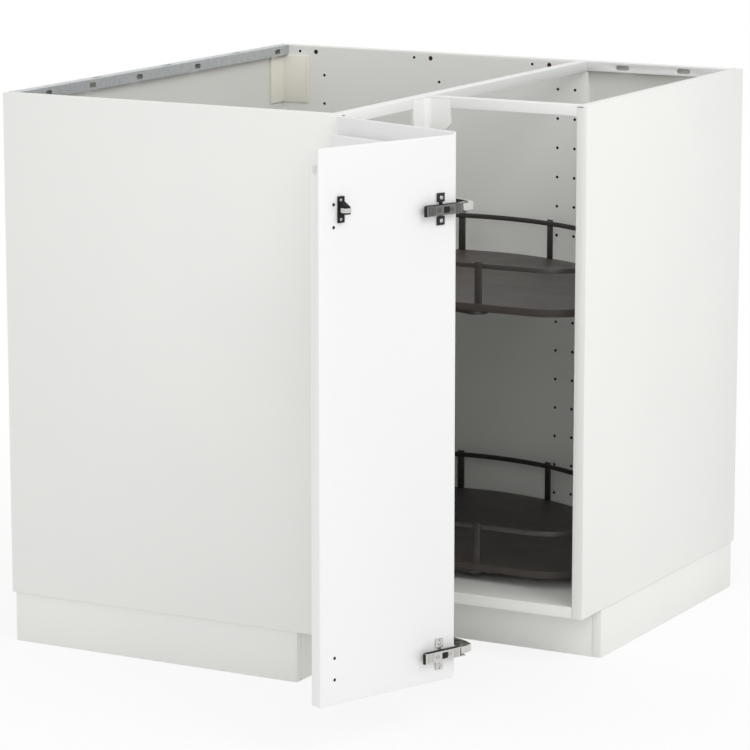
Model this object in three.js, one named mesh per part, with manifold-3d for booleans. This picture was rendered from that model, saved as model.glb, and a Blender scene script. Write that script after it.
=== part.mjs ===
// Corner base cabinet: an L-shaped carcass on legs, a two-tray carousel on a fixed pole, and a pair
// of door leaves that swing on the left wing and fold on each other. Millimetres, +Z up.
// Inside the cabinet group the two walls meet at x = 0, y = 0: X runs along the rear wall and -Y
// along the other wall. The doors stand open, as in use, and everything else is at rest.
import * as THREE from "three";
import { mergeVertices } from "three/addons/utils/BufferGeometryUtils.js";
import Module from "manifold-3d";

const wasm = await Module();
wasm.setup();

// ---- Carcass ----
const WALL_RUN = 875; // length of the cabinet along each wall
const WING_DEPTH = 600; // depth of each wing, from its wall to its front edge
const CARCASS_HEIGHT = 800;
const LEG_HEIGHT = 80;
const BOARD = 18; // side and bottom boards
const BACK_SHEET = 3;
const BACK_SHEET_SET_IN = 3; // from the wall to the sheet
const GROOVE_DEPTH = 6;
const SEAT_GAP = 0.3; // between pieces that rest on or in each other
const RAIL_HEIGHT = 16;
const RAIL_STEEL = 1.5;
const RAIL_FLANGE = 20;

// ---- Shelf-pin holes in the boards ----
const PIN_HOLE_RADIUS = 2.5;
const PIN_HOLE_DEPTH = 10;
const PIN_HOLE_STEP = 50;
const SHELF_COLUMNS = [91, 318, 545, 577]; // distance from the wall, on the rear board
const SIDE_COLUMNS = [91, 545]; // distance from the wall, on the other two boards
const TOP_ROW_DROP = 10;
const TOP_ROW_SMALL = [42, 269, 496];
const TOP_ROW_LARGE = [74, 301, 528];
const TOP_ROW_LARGE_RADIUS = 4;

// ---- Suspension rail and wing rails ----
const SUSPENSION_DEPTH = 19;
const SUSPENSION_HEIGHT = 17;
const SUSPENSION_LIP = 8;
const SUSPENSION_HOLES = [101, 227, 368, 550, 818]; // from the front end of the rail
const SUSPENSION_SLOTS = [255, 470, 692];
const SUSPENSION_HOLE_LENGTH = 18;
const SUSPENSION_HOLE_HEIGHT = 8;
const SUSPENSION_SLOT_LENGTH = 25;
const SUSPENSION_SLOT_WIDTH = 5;
const WING_SLOTS_SET_IN = [65, 81]; // from the wing's inner end and from the outer board
const WING_SLOT_LENGTH = 24;
const WING_SLOT_RADIUS = 4;

// ---- Corner brackets ----
const BRACKET_WALL = 3;
const FRONT_BRACKET_REACH = 42;
const FRONT_BRACKET_HEIGHT = 48;
const FRONT_BRACKET_CORNER = 13;
const REAR_BRACKET_REACH = [44, 54]; // along the thin back and along the rear board
const REAR_BRACKET_HEIGHT = 83;
const REAR_BRACKET_DROP = 17;

// ---- Plinth and legs ----
const PLINTH_BOARD = 16;
const PLINTH_SET_BACK = 78;
const PLINTH_SIDE_INSET = 3;
const PLINTH_END_INSET = 5;
const LEG_CLEARANCE = 6; // between a leg's cap and the front plinth boards
const LEG_SIDE_CLEARANCE = 11; // between a leg's cap and the side plinth boards
const LEG_FOOT_RADIUS = 25;
const LEG_FOOT_THICKNESS = 5;
const LEG_FOOT_SLOPE = 7;
const LEG_CAP_THICKNESS = 4;
const LEG_CAP_SLOPE = 6;
const LEG_TUBE_RADIUS = 12;
const LEG_SOCKET_RADIUS = 16;
const LEG_CAP_RADIUS = 30;
const LEG_SIDES = 12;

// ---- Carousel ----
const POLE_OFFSET = 437; // pole centre from each wall
const POLE_RADIUS = 12.5;
const POLE_BELOW_TOP = 123;
const TRAY_SIDE_GAP = 30.5; // between the tray's rim and the nearest board
const TRAY_FRONT_GAP = 73.5; // from the wings' front edges back to the tray's straight edges
const TRAY_CORNER = 80;
const TRAY_THICKNESS = 12.5;
const TRAYS_ABOVE_DECK = { upper: 450, lower: 30 };
const TRAY_ARC_STEPS = 48;
const TRAY_CORNER_STEPS = 8;
const RAIL_BAND_HEIGHT = 8;
const RAIL_BAND_TOP = 64; // above the tray
const RAIL_BAND_INSET = 3.5;
const RAIL_BAND_THICKNESS = 3;
const UPRIGHT_WIDTH = 12;
const UPRIGHT_THICKNESS = 2.6;
const UPRIGHT_HEIGHT = 66.5;
const UPRIGHT_STEP = 176.8; // along the tray's rim
const UPRIGHT_START = 130; // along the straight edge, from the notch corner
const HUB_RADIUS = 26;
const HUB_ABOVE_TRAY = 16;
const HUB_ARM_THICKNESS = 6;
const HUB_ARM_HALF_WIDTH = 18;
const HUB_ARM_REACH = 205; // of the two front arms, along the straight edges
const HUB_ARM_SET_BACK = 20.5; // of the front arms' ends, from the straight edges
const HUB_ARM_REAR_REACH = 170; // of the rear arm, along both walls
const TURNING_GAP = 0.4;
const CLAMP_RADIUS = 20;
const CLAMP_HEIGHT = 14;
const FLOOR_BEARING_RADIUS = 35;
const POLE_ARM_WIDTH = 20;
const POLE_ARM_HEIGHT = 22;
const POLE_RING_RADIUS = 22;
const POLE_PLATE = { width: 80, height: 56, thickness: 4 };

// ---- Doors ----
const DOOR_THICKNESS = 19;
const DOOR_GAP = 2; // between the carcass edge and a leaf's inner face
const DOOR_EDGE_GAP = 1.5; // above, below and at the free edge
const FOLD_GAP = 1.5; // from the fold axis to each leaf
const DOOR_OPEN = 108.7; // degrees, from shut to the rest pose
const FOLD_AT_REST = 2.8; // degrees, past the right angle
const PULL_DEPTH = 25; // finger pull along the top edge
const PULL_WEB = 4;
const PULL_LIP = 3.5;
const PULL_EDGE = 1.5; // bevel on the lip's outer edge
const PULL_GROOVE = 12;
const PULL_GROOVE_CORNER = 4;
const DOOR_HOLE_EDGE = 26.8; // fixing holes from the free edge
const DOOR_HOLES_BELOW_TOP = [80, 112];
const DOOR_HOLES_ABOVE_BOTTOM = [36.6, 68.4];

// ---- Concealed hinges ----
const HINGE_BELOW_TOP = 104;
const HINGE_ABOVE_BOTTOM = 40.5;
const CUP_RADIUS = 17.2;
const CUP_WALL = 1.1;
const CUP_DEPTH = 12.5;
const CUP_SIDES = 20;
const CUP_FLANGE = 1.2;
const CUP_FLANGE_HALF_HEIGHT = 25;
const CUP_FLANGE_HALF_WIDTH = 11;
const CABINET_CUP_INSET = 24; // cup centre from the swing axis
const FOLD_CUP_INSET = 25; // cup centre from the fold axis
const ARM_HALF_HEIGHT = 7.3;
const ARM_WALL = 1.2;
const ARM_RAISE = 12; // from the board to the arm's outer face
const ARM_CLEARANCE = 3; // from the board to the arm's open edge
const PLATE_WIDTH = 14;
const PLATE_HALF_HEIGHT = 23;
const PLATE_THICKNESS = 2;
const PLATE_RIB_HALF_HEIGHT = 5.5;
const PLATE_RIB_HEIGHT = 9.8;
const PLATE_RIB_LENGTH = 36;
const PLATE_INSET = 28; // plate centre from the board's edge
const ARM_LENGTH = 64;
const NOSE_REACH = 12.3; // past the carcass edge, into the leaf's cup
const NOSE_CHEEKS = [4.2, 6.2]; // inner and outer faces, from the middle of the arm
const NOSE_START = 9.9; // from the swing axis
const NOSE_ROOT = 4; // overlap with the channel, and its step outside the carcass edge
const CABINET_PIN = [7.5, 13.6]; // the link's pin, from the swing axis
const CABINET_LINK_LENGTH = 20;
const CABINET_LINK_HALF_WIDTH = 2.6;
const CABINET_LINK_SHUT = 92; // degrees
const CABINET_LINK_RATIO = 1.25;
const CUP_EAR_INNER = 8.2; // from the middle of the cup to an ear's inner face
const CUP_EAR_THICKNESS = 1.8;
const CABINET_EARS = { start: -4.8, end: 3, reach: 8 }; // along the leaf from the cup's centre, and out
const FOLD_EARS = { start: -6.5, end: 3, reach: 1 };
const FOLD_ARM_PAST_EDGE = 13;
const FOLD_PIN_FROM_ARM_END = 4;
const FOLD_PIN_OFF_FACE = 6.5; // from the right leaf's inner face
const FOLD_LINK_OFF_FACE = 13.2; // the link's long side, from the left leaf's inner face
const FOLD_LINK_TIP_DEPTH = 7.6; // inside the left leaf's cup
const FOLD_LINK_HALF_WIDTH = 2.5;
const FOLD_LINK_HALF_HEIGHT = 5.5;
const FOLD_LINK_RATIO = 0.46;
const LINK_PIN_RADIUS = 1.8;
const LINK_PIN_HOLE = 2.3;

// ---- Guide roller ----
const ROLLER_BELOW_TOP = 87.5;
const ROLLER_FROM_EDGE = 38.5;
const ROLLER_BASE = { width: 11, height: 37, thickness: 3 };
const ROLLER_AXLE_RADIUS = 1.5;
const ROLLER_RADIUS = 7.5;
const ROLLER_HEIGHT = 6.4;
const ROLLER_OFF_FACE = 12.6;
const FORK_THICKNESS = 2;
const FORK_REACH = 17.5;
const FORK_HALF_WIDTH = 4.5;
const GUSSET_SET_BACK = 4; // from the fork's end
const GUSSET_DROP = 8; // from the base's upper end
const GUSSET_HALF_THICKNESS = 1;

const FLOOR = 0;
const DECK_UNDERSIDE = LEG_HEIGHT;
const DECK = LEG_HEIGHT + BOARD;
const TOP = LEG_HEIGHT + CARCASS_HEIGHT;
const DOOR_BOTTOM = LEG_HEIGHT + DOOR_EDGE_GAP;
const DOOR_TOP = TOP - DOOR_EDGE_GAP;
const POLE_TOP = TOP - POLE_BELOW_TOP;
const INNER_SIDE = WALL_RUN - BOARD; // inner faces of the two outer boards, from the opposite wall
const BACK_FACE = BACK_SHEET_SET_IN + BACK_SHEET;
const POLE_TO_WALL = Math.min(POLE_OFFSET - BACK_FACE, INNER_SIDE - POLE_OFFSET);
const TRAY_RADIUS = POLE_TO_WALL - TRAY_SIDE_GAP;
const TRAY_EDGE = WING_DEPTH - TRAY_FRONT_GAP - POLE_OFFSET; // straight edges, from the pole centre
const TRAY_TOPS = { upper: DECK + TRAYS_ABOVE_DECK.upper, lower: DECK + TRAYS_ABOVE_DECK.lower };
const PLINTH_FRONT = WING_DEPTH - PLINTH_SET_BACK;
const PLINTH_SIDE = WALL_RUN - PLINTH_SIDE_INSET;
const LEG_INSET = PLINTH_SIDE_INSET + PLINTH_BOARD + LEG_SIDE_CLEARANCE + LEG_CAP_RADIUS;
const HINGE_HEIGHTS = { top: DOOR_TOP - HINGE_BELOW_TOP, bottom: DOOR_BOTTOM + HINGE_ABOVE_BOTTOM };
// The fold axis, measured from the swing axis while the doors are shut.
const FOLD_AXIS_X = DOOR_GAP + DOOR_THICKNESS + FOLD_GAP;
const FOLD_AXIS_Y = WALL_RUN - WING_DEPTH - FOLD_AXIS_X;
const LEAF_START = DOOR_EDGE_GAP;
const LEFT_LEAF_END = FOLD_AXIS_Y - FOLD_GAP;
const RIGHT_LEAF_END = FOLD_AXIS_Y - DOOR_EDGE_GAP;
const LEAF_INNER = FOLD_GAP + DOOR_THICKNESS; // inner faces of both leaves, from the fold axis
const FOLD_PIN = [FOLD_PIN_FROM_ARM_END - FOLD_ARM_PAST_EDGE, LEAF_INNER + FOLD_PIN_OFF_FACE];
// The middle line of the fold hinge's link, from its pin on the arm round the leaf's edge to its
// tip in the cup.
const FOLD_LINK = [
  FOLD_PIN,
  [-LEAF_INNER - FOLD_LINK_OFF_FACE + 4.7, LEAF_INNER + 1.3],
  [-LEAF_INNER - FOLD_LINK_OFF_FACE, 5],
  [-LEAF_INNER - FOLD_LINK_OFF_FACE - 0.1, -2],
  [-LEAF_INNER - FOLD_LINK_OFF_FACE, 1 - FOLD_CUP_INSET],
  [-LEAF_INNER + FOLD_LINK_TIP_DEPTH, -FOLD_CUP_INSET - 2],
];

const FINISHES = {
  whiteBoard: { color: 0xefefeb, roughness: 0.55, metalness: 0 },
  whiteDoor: { color: 0xf7f7f7, roughness: 0.4, metalness: 0 },
  backSheet: { color: 0xe4e4e0, roughness: 0.6, metalness: 0 },
  whiteRail: { color: 0xececea, roughness: 0.4, metalness: 0.1 },
  galvanised: { color: 0xaab0b2, roughness: 0.4, metalness: 0.9 },
  whitePlastic: { color: 0xf2f2ee, roughness: 0.45, metalness: 0 },
  creamPlastic: { color: 0xeeeadd, roughness: 0.5, metalness: 0 },
  blackPlastic: { color: 0x1b1b1b, roughness: 0.55, metalness: 0 },
  rollerPlastic: { color: 0xd5d5d0, roughness: 0.4, metalness: 0 },
  trayBoard: { color: 0x4a4540, roughness: 0.6, metalness: 0 },
  darkSteel: { color: 0x2c2926, roughness: 0.45, metalness: 0.5 },
  nickel: { color: 0xb9b9b5, roughness: 0.3, metalness: 1 },
};

const radians = THREE.MathUtils.degToRad;

// ---- Solids ----

function solidOf(geometry) {
  const bare = geometry.clone();
  bare.deleteAttribute("normal");
  bare.deleteAttribute("uv");
  const merged = mergeVertices(bare, 1e-4);
  return new wasm.Manifold(
    new wasm.Mesh({
      numProp: 3,
      vertProperties: merged.attributes.position.array,
      triVerts: new Uint32Array(merged.index.array),
    }),
  );
}

function geometryOf(solid) {
  const mesh = solid.getMesh();
  const geometry = new THREE.BufferGeometry();
  geometry.setAttribute("position", new THREE.BufferAttribute(mesh.vertProperties, mesh.numProp));
  geometry.setIndex(new THREE.BufferAttribute(mesh.triVerts, 1));
  const faceted = geometry.toNonIndexed();
  faceted.computeVertexNormals();
  return faceted;
}

function join(...solids) {
  return solids.reduce((whole, piece) => whole.add(piece));
}

function cut(solid, ...tools) {
  return tools.reduce((rest, tool) => rest.subtract(tool), solid);
}

function block(x0, x1, y0, y1, z0, z1) {
  const geometry = new THREE.BoxGeometry(x1 - x0, y1 - y0, z1 - z0);
  geometry.translate((x0 + x1) / 2, (y0 + y1) / 2, (z0 + z1) / 2);
  return solidOf(geometry);
}

// A round bar along one axis; a and b are its centre on the other two axes, in X, Y, Z order.
function rod(axis, radius, from, to, a, b, sides = 16) {
  const geometry = new THREE.CylinderGeometry(radius, radius, to - from, sides);
  const middle = (from + to) / 2;
  if (axis === "x") geometry.rotateZ(-Math.PI / 2).translate(middle, a, b);
  if (axis === "y") geometry.translate(a, middle, b);
  if (axis === "z") geometry.rotateX(Math.PI / 2).translate(a, b, middle);
  return solidOf(geometry);
}

// An outline of [a, b] points on the two axes other than the given one, in X, Y, Z order.
function prism(axis, outline, from, to, hole) {
  const points = (list) => list.map(([a, b]) => new THREE.Vector2(a, b));
  const shape = new THREE.Shape(points(outline));
  if (hole) shape.holes.push(new THREE.Path(points(hole)));
  const geometry = new THREE.ExtrudeGeometry(shape, { depth: to - from, bevelEnabled: false });
  const turn = new THREE.Matrix4();
  const x = new THREE.Vector3(1, 0, 0);
  const y = new THREE.Vector3(0, 1, 0);
  const z = new THREE.Vector3(0, 0, 1);
  if (axis === "x") turn.makeBasis(y, z, x).setPosition(from, 0, 0);
  if (axis === "y") turn.makeBasis(x, z, y.clone().negate()).setPosition(0, to, 0);
  if (axis === "z") turn.setPosition(0, 0, from);
  geometry.applyMatrix4(turn);
  return solidOf(geometry);
}

function arcPoints(x, y, radius, start, end, steps) {
  return Array.from({ length: steps + 1 }, (_, i) => {
    const angle = start + ((end - start) * i) / steps;
    return [x + radius * Math.cos(angle), y + radius * Math.sin(angle)];
  });
}

// The outline of a bar with round ends that follows a path.
function bandOutline(path, halfWidth, endSteps = 4) {
  const heading = (i) => Math.atan2(path[i + 1][1] - path[i][1], path[i + 1][0] - path[i][0]);
  const last = path.length - 1;
  const side = (sign) =>
    path.slice(1, last).map(([x, y], i) => {
      const before = heading(i);
      const bend = Math.atan2(Math.sin(heading(i + 1) - before), Math.cos(heading(i + 1) - before));
      const normal = before + bend / 2 + (sign * Math.PI) / 2;
      const reach = halfWidth / Math.cos(bend / 2);
      return [x + reach * Math.cos(normal), y + reach * Math.sin(normal)];
    });
  const end = (point, angle) =>
    arcPoints(point[0], point[1], halfWidth, angle - Math.PI / 2, angle + Math.PI / 2, endSteps);
  return [
    ...side(-1),
    ...end(path[last], heading(last - 1)),
    ...side(1).reverse(),
    ...end(path[0], heading(0) + Math.PI),
  ];
}

function place(parent, x, y, degrees = 0) {
  const group = new THREE.Group();
  group.position.set(x, y, 0);
  group.rotation.z = radians(degrees);
  parent.add(group);
  return group;
}

function addPart(parent, name, solid, finish) {
  const mesh = new THREE.Mesh(geometryOf(solid), new THREE.MeshStandardMaterial(finish));
  mesh.name = name;
  parent.add(mesh);
  return mesh;
}

const cabinet = new THREE.Group();
const corner = place(cabinet, -LEG_INSET, LEG_INSET);

// ---- Boards ----

function pinHoles(axis, from, to, columns) {
  const count = Math.floor((CARCASS_HEIGHT - 2 * BOARD) / PIN_HOLE_STEP);
  const holes = [];
  for (const column of columns)
    for (let i = 1; i <= count; i++)
      holes.push(rod(axis, PIN_HOLE_RADIUS, from, to, column, TOP - i * PIN_HOLE_STEP, 6));
  return holes;
}

function addBoards() {
  const sheetStart = BACK_SHEET_SET_IN;
  const sheetEnd = BACK_FACE;
  const innerLeft = -INNER_SIDE;
  const innerRight = INNER_SIDE;

  const left = cut(
    block(0, WING_DEPTH, -WALL_RUN, innerLeft, DECK_UNDERSIDE, TOP),
    block(sheetStart, sheetEnd, innerLeft - GROOVE_DEPTH, innerLeft + 1, DECK_UNDERSIDE - 1, TOP + 1),
    ...pinHoles("y", innerLeft - PIN_HOLE_DEPTH, innerLeft + 1, SIDE_COLUMNS),
  );
  addPart(corner, "left_side_panel", left, FINISHES.whiteBoard);

  const topRow = (x, radius, sides) =>
    rod("y", radius, -BOARD - 1, -BOARD + PIN_HOLE_DEPTH, x, TOP - TOP_ROW_DROP, sides);
  const rear = cut(
    block(0, WING_DEPTH, -BOARD, 0, DECK_UNDERSIDE, TOP),
    block(sheetStart, sheetEnd, -BOARD - 1, -BOARD + GROOVE_DEPTH, DECK_UNDERSIDE - 1, TOP + 1),
    ...pinHoles("y", -BOARD - 1, -BOARD + PIN_HOLE_DEPTH, SHELF_COLUMNS),
    ...TOP_ROW_SMALL.map((x) => topRow(x, PIN_HOLE_RADIUS, 6)),
    ...TOP_ROW_LARGE.map((x) => topRow(x, TOP_ROW_LARGE_RADIUS, 8)),
  );
  addPart(corner, "rear_side_panel", rear, FINISHES.whiteBoard);

  const right = cut(
    block(innerRight, WALL_RUN, -WING_DEPTH, 0, DECK_UNDERSIDE, TOP),
    block(innerRight - 1, innerRight + GROOVE_DEPTH, -sheetEnd, -sheetStart, DECK_UNDERSIDE - 1, TOP + 1),
    ...pinHoles("x", innerRight - 1, innerRight + PIN_HOLE_DEPTH, SIDE_COLUMNS.map((y) => -y)),
  );
  addPart(corner, "right_side_panel", right, FINISHES.whiteBoard);

  const grip = GROOVE_DEPTH - SEAT_GAP;
  const sheetTop = TOP - RAIL_STEEL - SEAT_GAP;
  addPart(
    corner,
    "main_back_board",
    block(sheetStart, sheetEnd, innerLeft - grip, -BOARD + grip, DECK_UNDERSIDE, sheetTop),
    FINISHES.backSheet,
  );
  addPart(
    corner,
    "wing_back_board",
    block(WING_DEPTH, innerRight + grip, -sheetEnd, -sheetStart, DECK_UNDERSIDE, sheetTop),
    FINISHES.backSheet,
  );
  addPart(
    corner,
    "main_bottom_panel",
    block(sheetEnd + SEAT_GAP, WING_DEPTH, innerLeft, -BOARD, DECK_UNDERSIDE, DECK),
    FINISHES.whiteBoard,
  );
  addPart(
    corner,
    "wing_bottom_panel",
    block(WING_DEPTH + SEAT_GAP, innerRight, -WING_DEPTH, -sheetEnd - SEAT_GAP, DECK_UNDERSIDE, DECK),
    FINISHES.whiteBoard,
  );
}

// ---- Rails ----

function addRails() {
  const innerLeft = -INNER_SIDE;
  const innerRight = INNER_SIDE;
  const flangeUnderside = TOP - RAIL_STEEL;
  const railBottom = TOP - RAIL_HEIGHT;

  const longRail = join(
    block(WING_DEPTH - RAIL_STEEL, WING_DEPTH, innerLeft, -BOARD, railBottom, TOP),
    block(WING_DEPTH - RAIL_FLANGE, WING_DEPTH, innerLeft, -BOARD, flangeUnderside, TOP),
  );
  addPart(corner, "long_front_rail", longRail, FINISHES.whiteRail);

  const wingFront = join(
    block(WING_DEPTH, innerRight, -WING_DEPTH, -WING_DEPTH + RAIL_STEEL, railBottom, TOP),
    block(WING_DEPTH, innerRight, -WING_DEPTH, -WING_DEPTH + RAIL_FLANGE, flangeUnderside, TOP),
  );
  addPart(corner, "wing_front_rail", wingFront, FINISHES.whiteRail);

  const slotHeight = TOP - RAIL_HEIGHT / 2;
  const [fromInner, fromOuter] = WING_SLOTS_SET_IN;
  const slots = [WING_DEPTH + fromInner, innerRight - fromOuter].map((x) => {
    const half = WING_SLOT_LENGTH / 2 - WING_SLOT_RADIUS;
    const outline = bandOutline([[x - half, slotHeight], [x + half, slotHeight]], WING_SLOT_RADIUS);
    return prism("y", outline, -BOARD - RAIL_STEEL - 1, -BOARD + 1);
  });
  const wingRear = cut(
    join(
      block(WING_DEPTH, innerRight, -BOARD - RAIL_STEEL, -BOARD, railBottom, TOP),
      block(WING_DEPTH, innerRight, -BOARD - RAIL_STEEL, 0, flangeUnderside, TOP),
    ),
    ...slots,
  );
  addPart(corner, "wing_rear_rail", wingRear, FINISHES.whiteRail);

  const inside = SUSPENSION_DEPTH - RAIL_STEEL;
  const holeHeight = TOP - SUSPENSION_HEIGHT / 2 - RAIL_STEEL / 2;
  const faceHoles = SUSPENSION_HOLES.map((start) => {
    const y = -WALL_RUN + start;
    return block(
      inside - 1,
      SUSPENSION_DEPTH + 1,
      y - SUSPENSION_HOLE_LENGTH / 2,
      y + SUSPENSION_HOLE_LENGTH / 2,
      holeHeight - SUSPENSION_HOLE_HEIGHT / 2,
      holeHeight + SUSPENSION_HOLE_HEIGHT / 2,
    );
  });
  const flangeSlots = SUSPENSION_SLOTS.map((start) => {
    const y = -WALL_RUN + start;
    const middle = SUSPENSION_DEPTH / 2;
    return block(
      middle - SUSPENSION_SLOT_WIDTH / 2,
      middle + SUSPENSION_SLOT_WIDTH / 2,
      y - SUSPENSION_SLOT_LENGTH / 2,
      y + SUSPENSION_SLOT_LENGTH / 2,
      flangeUnderside - 1,
      TOP + 1,
    );
  });
  const suspension = cut(
    join(
      block(inside, SUSPENSION_DEPTH, innerLeft, -BOARD, TOP - SUSPENSION_HEIGHT, TOP),
      block(0, SUSPENSION_DEPTH, innerLeft, -BOARD, flangeUnderside, TOP),
      block(0, RAIL_STEEL, innerLeft, -BOARD, TOP - SUSPENSION_LIP, TOP),
    ),
    ...faceHoles,
    ...flangeSlots,
  );
  addPart(corner, "rear_suspension_rail", suspension, FINISHES.galvanised);
}

// ---- Corner brackets ----

function addBrackets() {
  const face = WING_DEPTH - RAIL_STEEL - SEAT_GAP;
  const inner = face - BRACKET_WALL;
  const reach = WING_DEPTH + FRONT_BRACKET_REACH;
  const top = TOP - RAIL_STEEL - SEAT_GAP;
  const bottom = top - FRONT_BRACKET_HEIGHT;
  const r = FRONT_BRACKET_CORNER;
  // One flange seen face on, from the corner line to its rounded lower end.
  const flange = [
    [inner, bottom],
    ...arcPoints(reach - r, bottom + r, r, -Math.PI / 2, 0, 4),
    [reach, top],
    [inner, top],
  ];
  const mirrored = flange.map(([a, b]) => [-a, b]).reverse();
  const front = cut(
    join(prism("x", mirrored, inner, face), prism("y", flange, -face, -inner)),
    block(face, WING_DEPTH + SEAT_GAP, -face - 1, -inner + 1, TOP - RAIL_HEIGHT - SEAT_GAP, top + 1),
  );
  addPart(corner, "front_corner_bracket", front, FINISHES.whitePlastic);

  const sheetFace = BACK_FACE + SEAT_GAP;
  const boardFace = -BOARD - SEAT_GAP;
  const rearTop = TOP - REAR_BRACKET_DROP - SEAT_GAP;
  const rearBottom = rearTop - REAR_BRACKET_HEIGHT;
  const [alongSheet, alongBoard] = REAR_BRACKET_REACH;
  const rear = join(
    block(sheetFace, sheetFace + BRACKET_WALL, boardFace - alongSheet, boardFace, rearBottom, rearTop),
    block(sheetFace, sheetFace + alongBoard, boardFace - BRACKET_WALL, boardFace, rearBottom, rearTop),
  );
  addPart(corner, "rear_corner_bracket", rear, FINISHES.creamPlastic);
}

// ---- Plinth and legs ----

function addPlinth() {
  const outerSide = PLINTH_SIDE;
  const innerSide = outerSide - PLINTH_BOARD;
  const front = PLINTH_FRONT;
  const behind = front - PLINTH_BOARD;
  const top = DECK_UNDERSIDE - SEAT_GAP;
  const boards = {
    plinth_left_side: block(PLINTH_END_INSET, front, -outerSide, -innerSide, FLOOR, top),
    plinth_left_front: block(behind, front, -innerSide, -behind, FLOOR, top),
    plinth_right_front: block(front, innerSide, -front, -behind, FLOOR, top),
    plinth_right_side: block(innerSide, outerSide, -front, -PLINTH_END_INSET, FLOOR, top),
  };
  for (const [name, board] of Object.entries(boards)) addPart(corner, name, board, FINISHES.whiteBoard);
}

function addLegs() {
  const far = WALL_RUN - LEG_INSET;
  const middle = PLINTH_FRONT - PLINTH_BOARD - LEG_CLEARANCE - LEG_CAP_RADIUS;
  const places = {
    rear_corner: [LEG_INSET, -LEG_INSET],
    left_rear: [LEG_INSET, -far],
    left_front: [middle, -far],
    inner_front: [middle, -middle],
    right_front: [far, -middle],
    right_rear: [far, -LEG_INSET],
  };
  const footTop = FLOOR + LEG_FOOT_THICKNESS;
  const capUnderside = DECK_UNDERSIDE - LEG_CAP_THICKNESS;
  const profile = [
    [0, FLOOR],
    [LEG_FOOT_RADIUS, FLOOR],
    [LEG_FOOT_RADIUS, footTop],
    [LEG_TUBE_RADIUS, footTop + LEG_FOOT_SLOPE],
    [LEG_TUBE_RADIUS, DECK_UNDERSIDE / 2],
    [LEG_SOCKET_RADIUS, DECK_UNDERSIDE / 2],
    [LEG_SOCKET_RADIUS, capUnderside - LEG_CAP_SLOPE],
    [LEG_CAP_RADIUS, capUnderside],
    [LEG_CAP_RADIUS, DECK_UNDERSIDE],
    [0, DECK_UNDERSIDE],
  ];
  for (const [name, [x, y]] of Object.entries(places)) {
    const leg = new THREE.LatheGeometry(profile.map(([r, z]) => new THREE.Vector2(r, z)), LEG_SIDES);
    leg.rotateX(Math.PI / 2).translate(x, y, 0);
    addPart(corner, "leg_" + name, solidOf(leg), FINISHES.blackPlastic);
  }
}

// ---- Carousel ----

// The tray's rim as seen from above, counter-clockwise from the notch corner, with the pole at 0, 0.
function trayRim(inset) {
  const radius = TRAY_RADIUS - inset;
  const edge = TRAY_EDGE - inset;
  const round = TRAY_CORNER - inset;
  const near = edge - round;
  const far = Math.sqrt((radius - round) ** 2 - near ** 2);
  const start = Math.atan2(-near, far);
  const right = Math.PI / 2;
  return [
    [edge, -edge],
    ...arcPoints(far, -near, round, -right, start, TRAY_CORNER_STEPS),
    ...arcPoints(0, 0, radius, start, 3 * right - start, TRAY_ARC_STEPS).slice(1),
    ...arcPoints(near, -far, round, 3 * right - start, 4 * right, TRAY_CORNER_STEPS).slice(1),
  ];
}

// Points at even steps along a closed rim, each with the rim's heading there.
function stationsAlong(rim, start, step) {
  const stations = [];
  let walked = 0;
  let next = start;
  rim.forEach(([x0, y0], i) => {
    const [x1, y1] = rim[(i + 1) % rim.length];
    const length = Math.hypot(x1 - x0, y1 - y0);
    for (; next <= walked + length; next += step) {
      const share = (next - walked) / length;
      const angle = Math.atan2(y1 - y0, x1 - x0);
      stations.push({ x: x0 + (x1 - x0) * share, y: y0 + (y1 - y0) * share, angle });
    }
    walked += length;
  });
  return stations;
}

function addTray(level) {
  const group = place(corner, POLE_OFFSET, -POLE_OFFSET);
  const top = TRAY_TOPS[level];
  const underside = top - TRAY_THICKNESS;
  const board = cut(
    prism("z", trayRim(0), underside, top),
    rod("z", HUB_RADIUS + SEAT_GAP, underside - 1, top + 1, 0, 0, 20),
  );
  addPart(group, level + "_tray", board, FINISHES.trayBoard);

  const outer = RAIL_BAND_INSET;
  const inner = RAIL_BAND_INSET + RAIL_BAND_THICKNESS;
  const bandTop = top + RAIL_BAND_TOP;
  const band = prism("z", trayRim(outer), bandTop - RAIL_BAND_HEIGHT, bandTop, trayRim(inner));
  const uprights = stationsAlong(trayRim(outer), UPRIGHT_START, UPRIGHT_STEP).map((at) => {
    const bar = new THREE.BoxGeometry(UPRIGHT_WIDTH, UPRIGHT_THICKNESS, UPRIGHT_HEIGHT);
    bar.translate(0, SEAT_GAP - UPRIGHT_THICKNESS / 2, top + UPRIGHT_HEIGHT / 2);
    bar.rotateZ(at.angle).translate(at.x, at.y, 0);
    return solidOf(bar);
  });
  addPart(group, level + "_gallery", join(band, ...uprights), FINISHES.darkSteel);

  const hubBottom = underside - HUB_ARM_THICKNESS;
  const hubTop = top + HUB_ABOVE_TRAY;
  const setBack = TRAY_EDGE - HUB_ARM_SET_BACK;
  const armEnds = [
    [HUB_ARM_REACH, -setBack],
    [setBack, -HUB_ARM_REACH],
    [-HUB_ARM_REAR_REACH, HUB_ARM_REAR_REACH],
  ];
  const arms = armEnds.map((end) =>
    prism("z", bandOutline([[0, 0], end], HUB_ARM_HALF_WIDTH), hubBottom, underside),
  );
  const hub = cut(
    join(rod("z", HUB_RADIUS, hubBottom, hubTop, 0, 0, 20), ...arms),
    rod("z", POLE_RADIUS + TURNING_GAP, hubBottom - 1, hubTop + 1, 0, 0, 20),
  );
  addPart(group, level + "_hub", hub, FINISHES.darkSteel);
}

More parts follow.
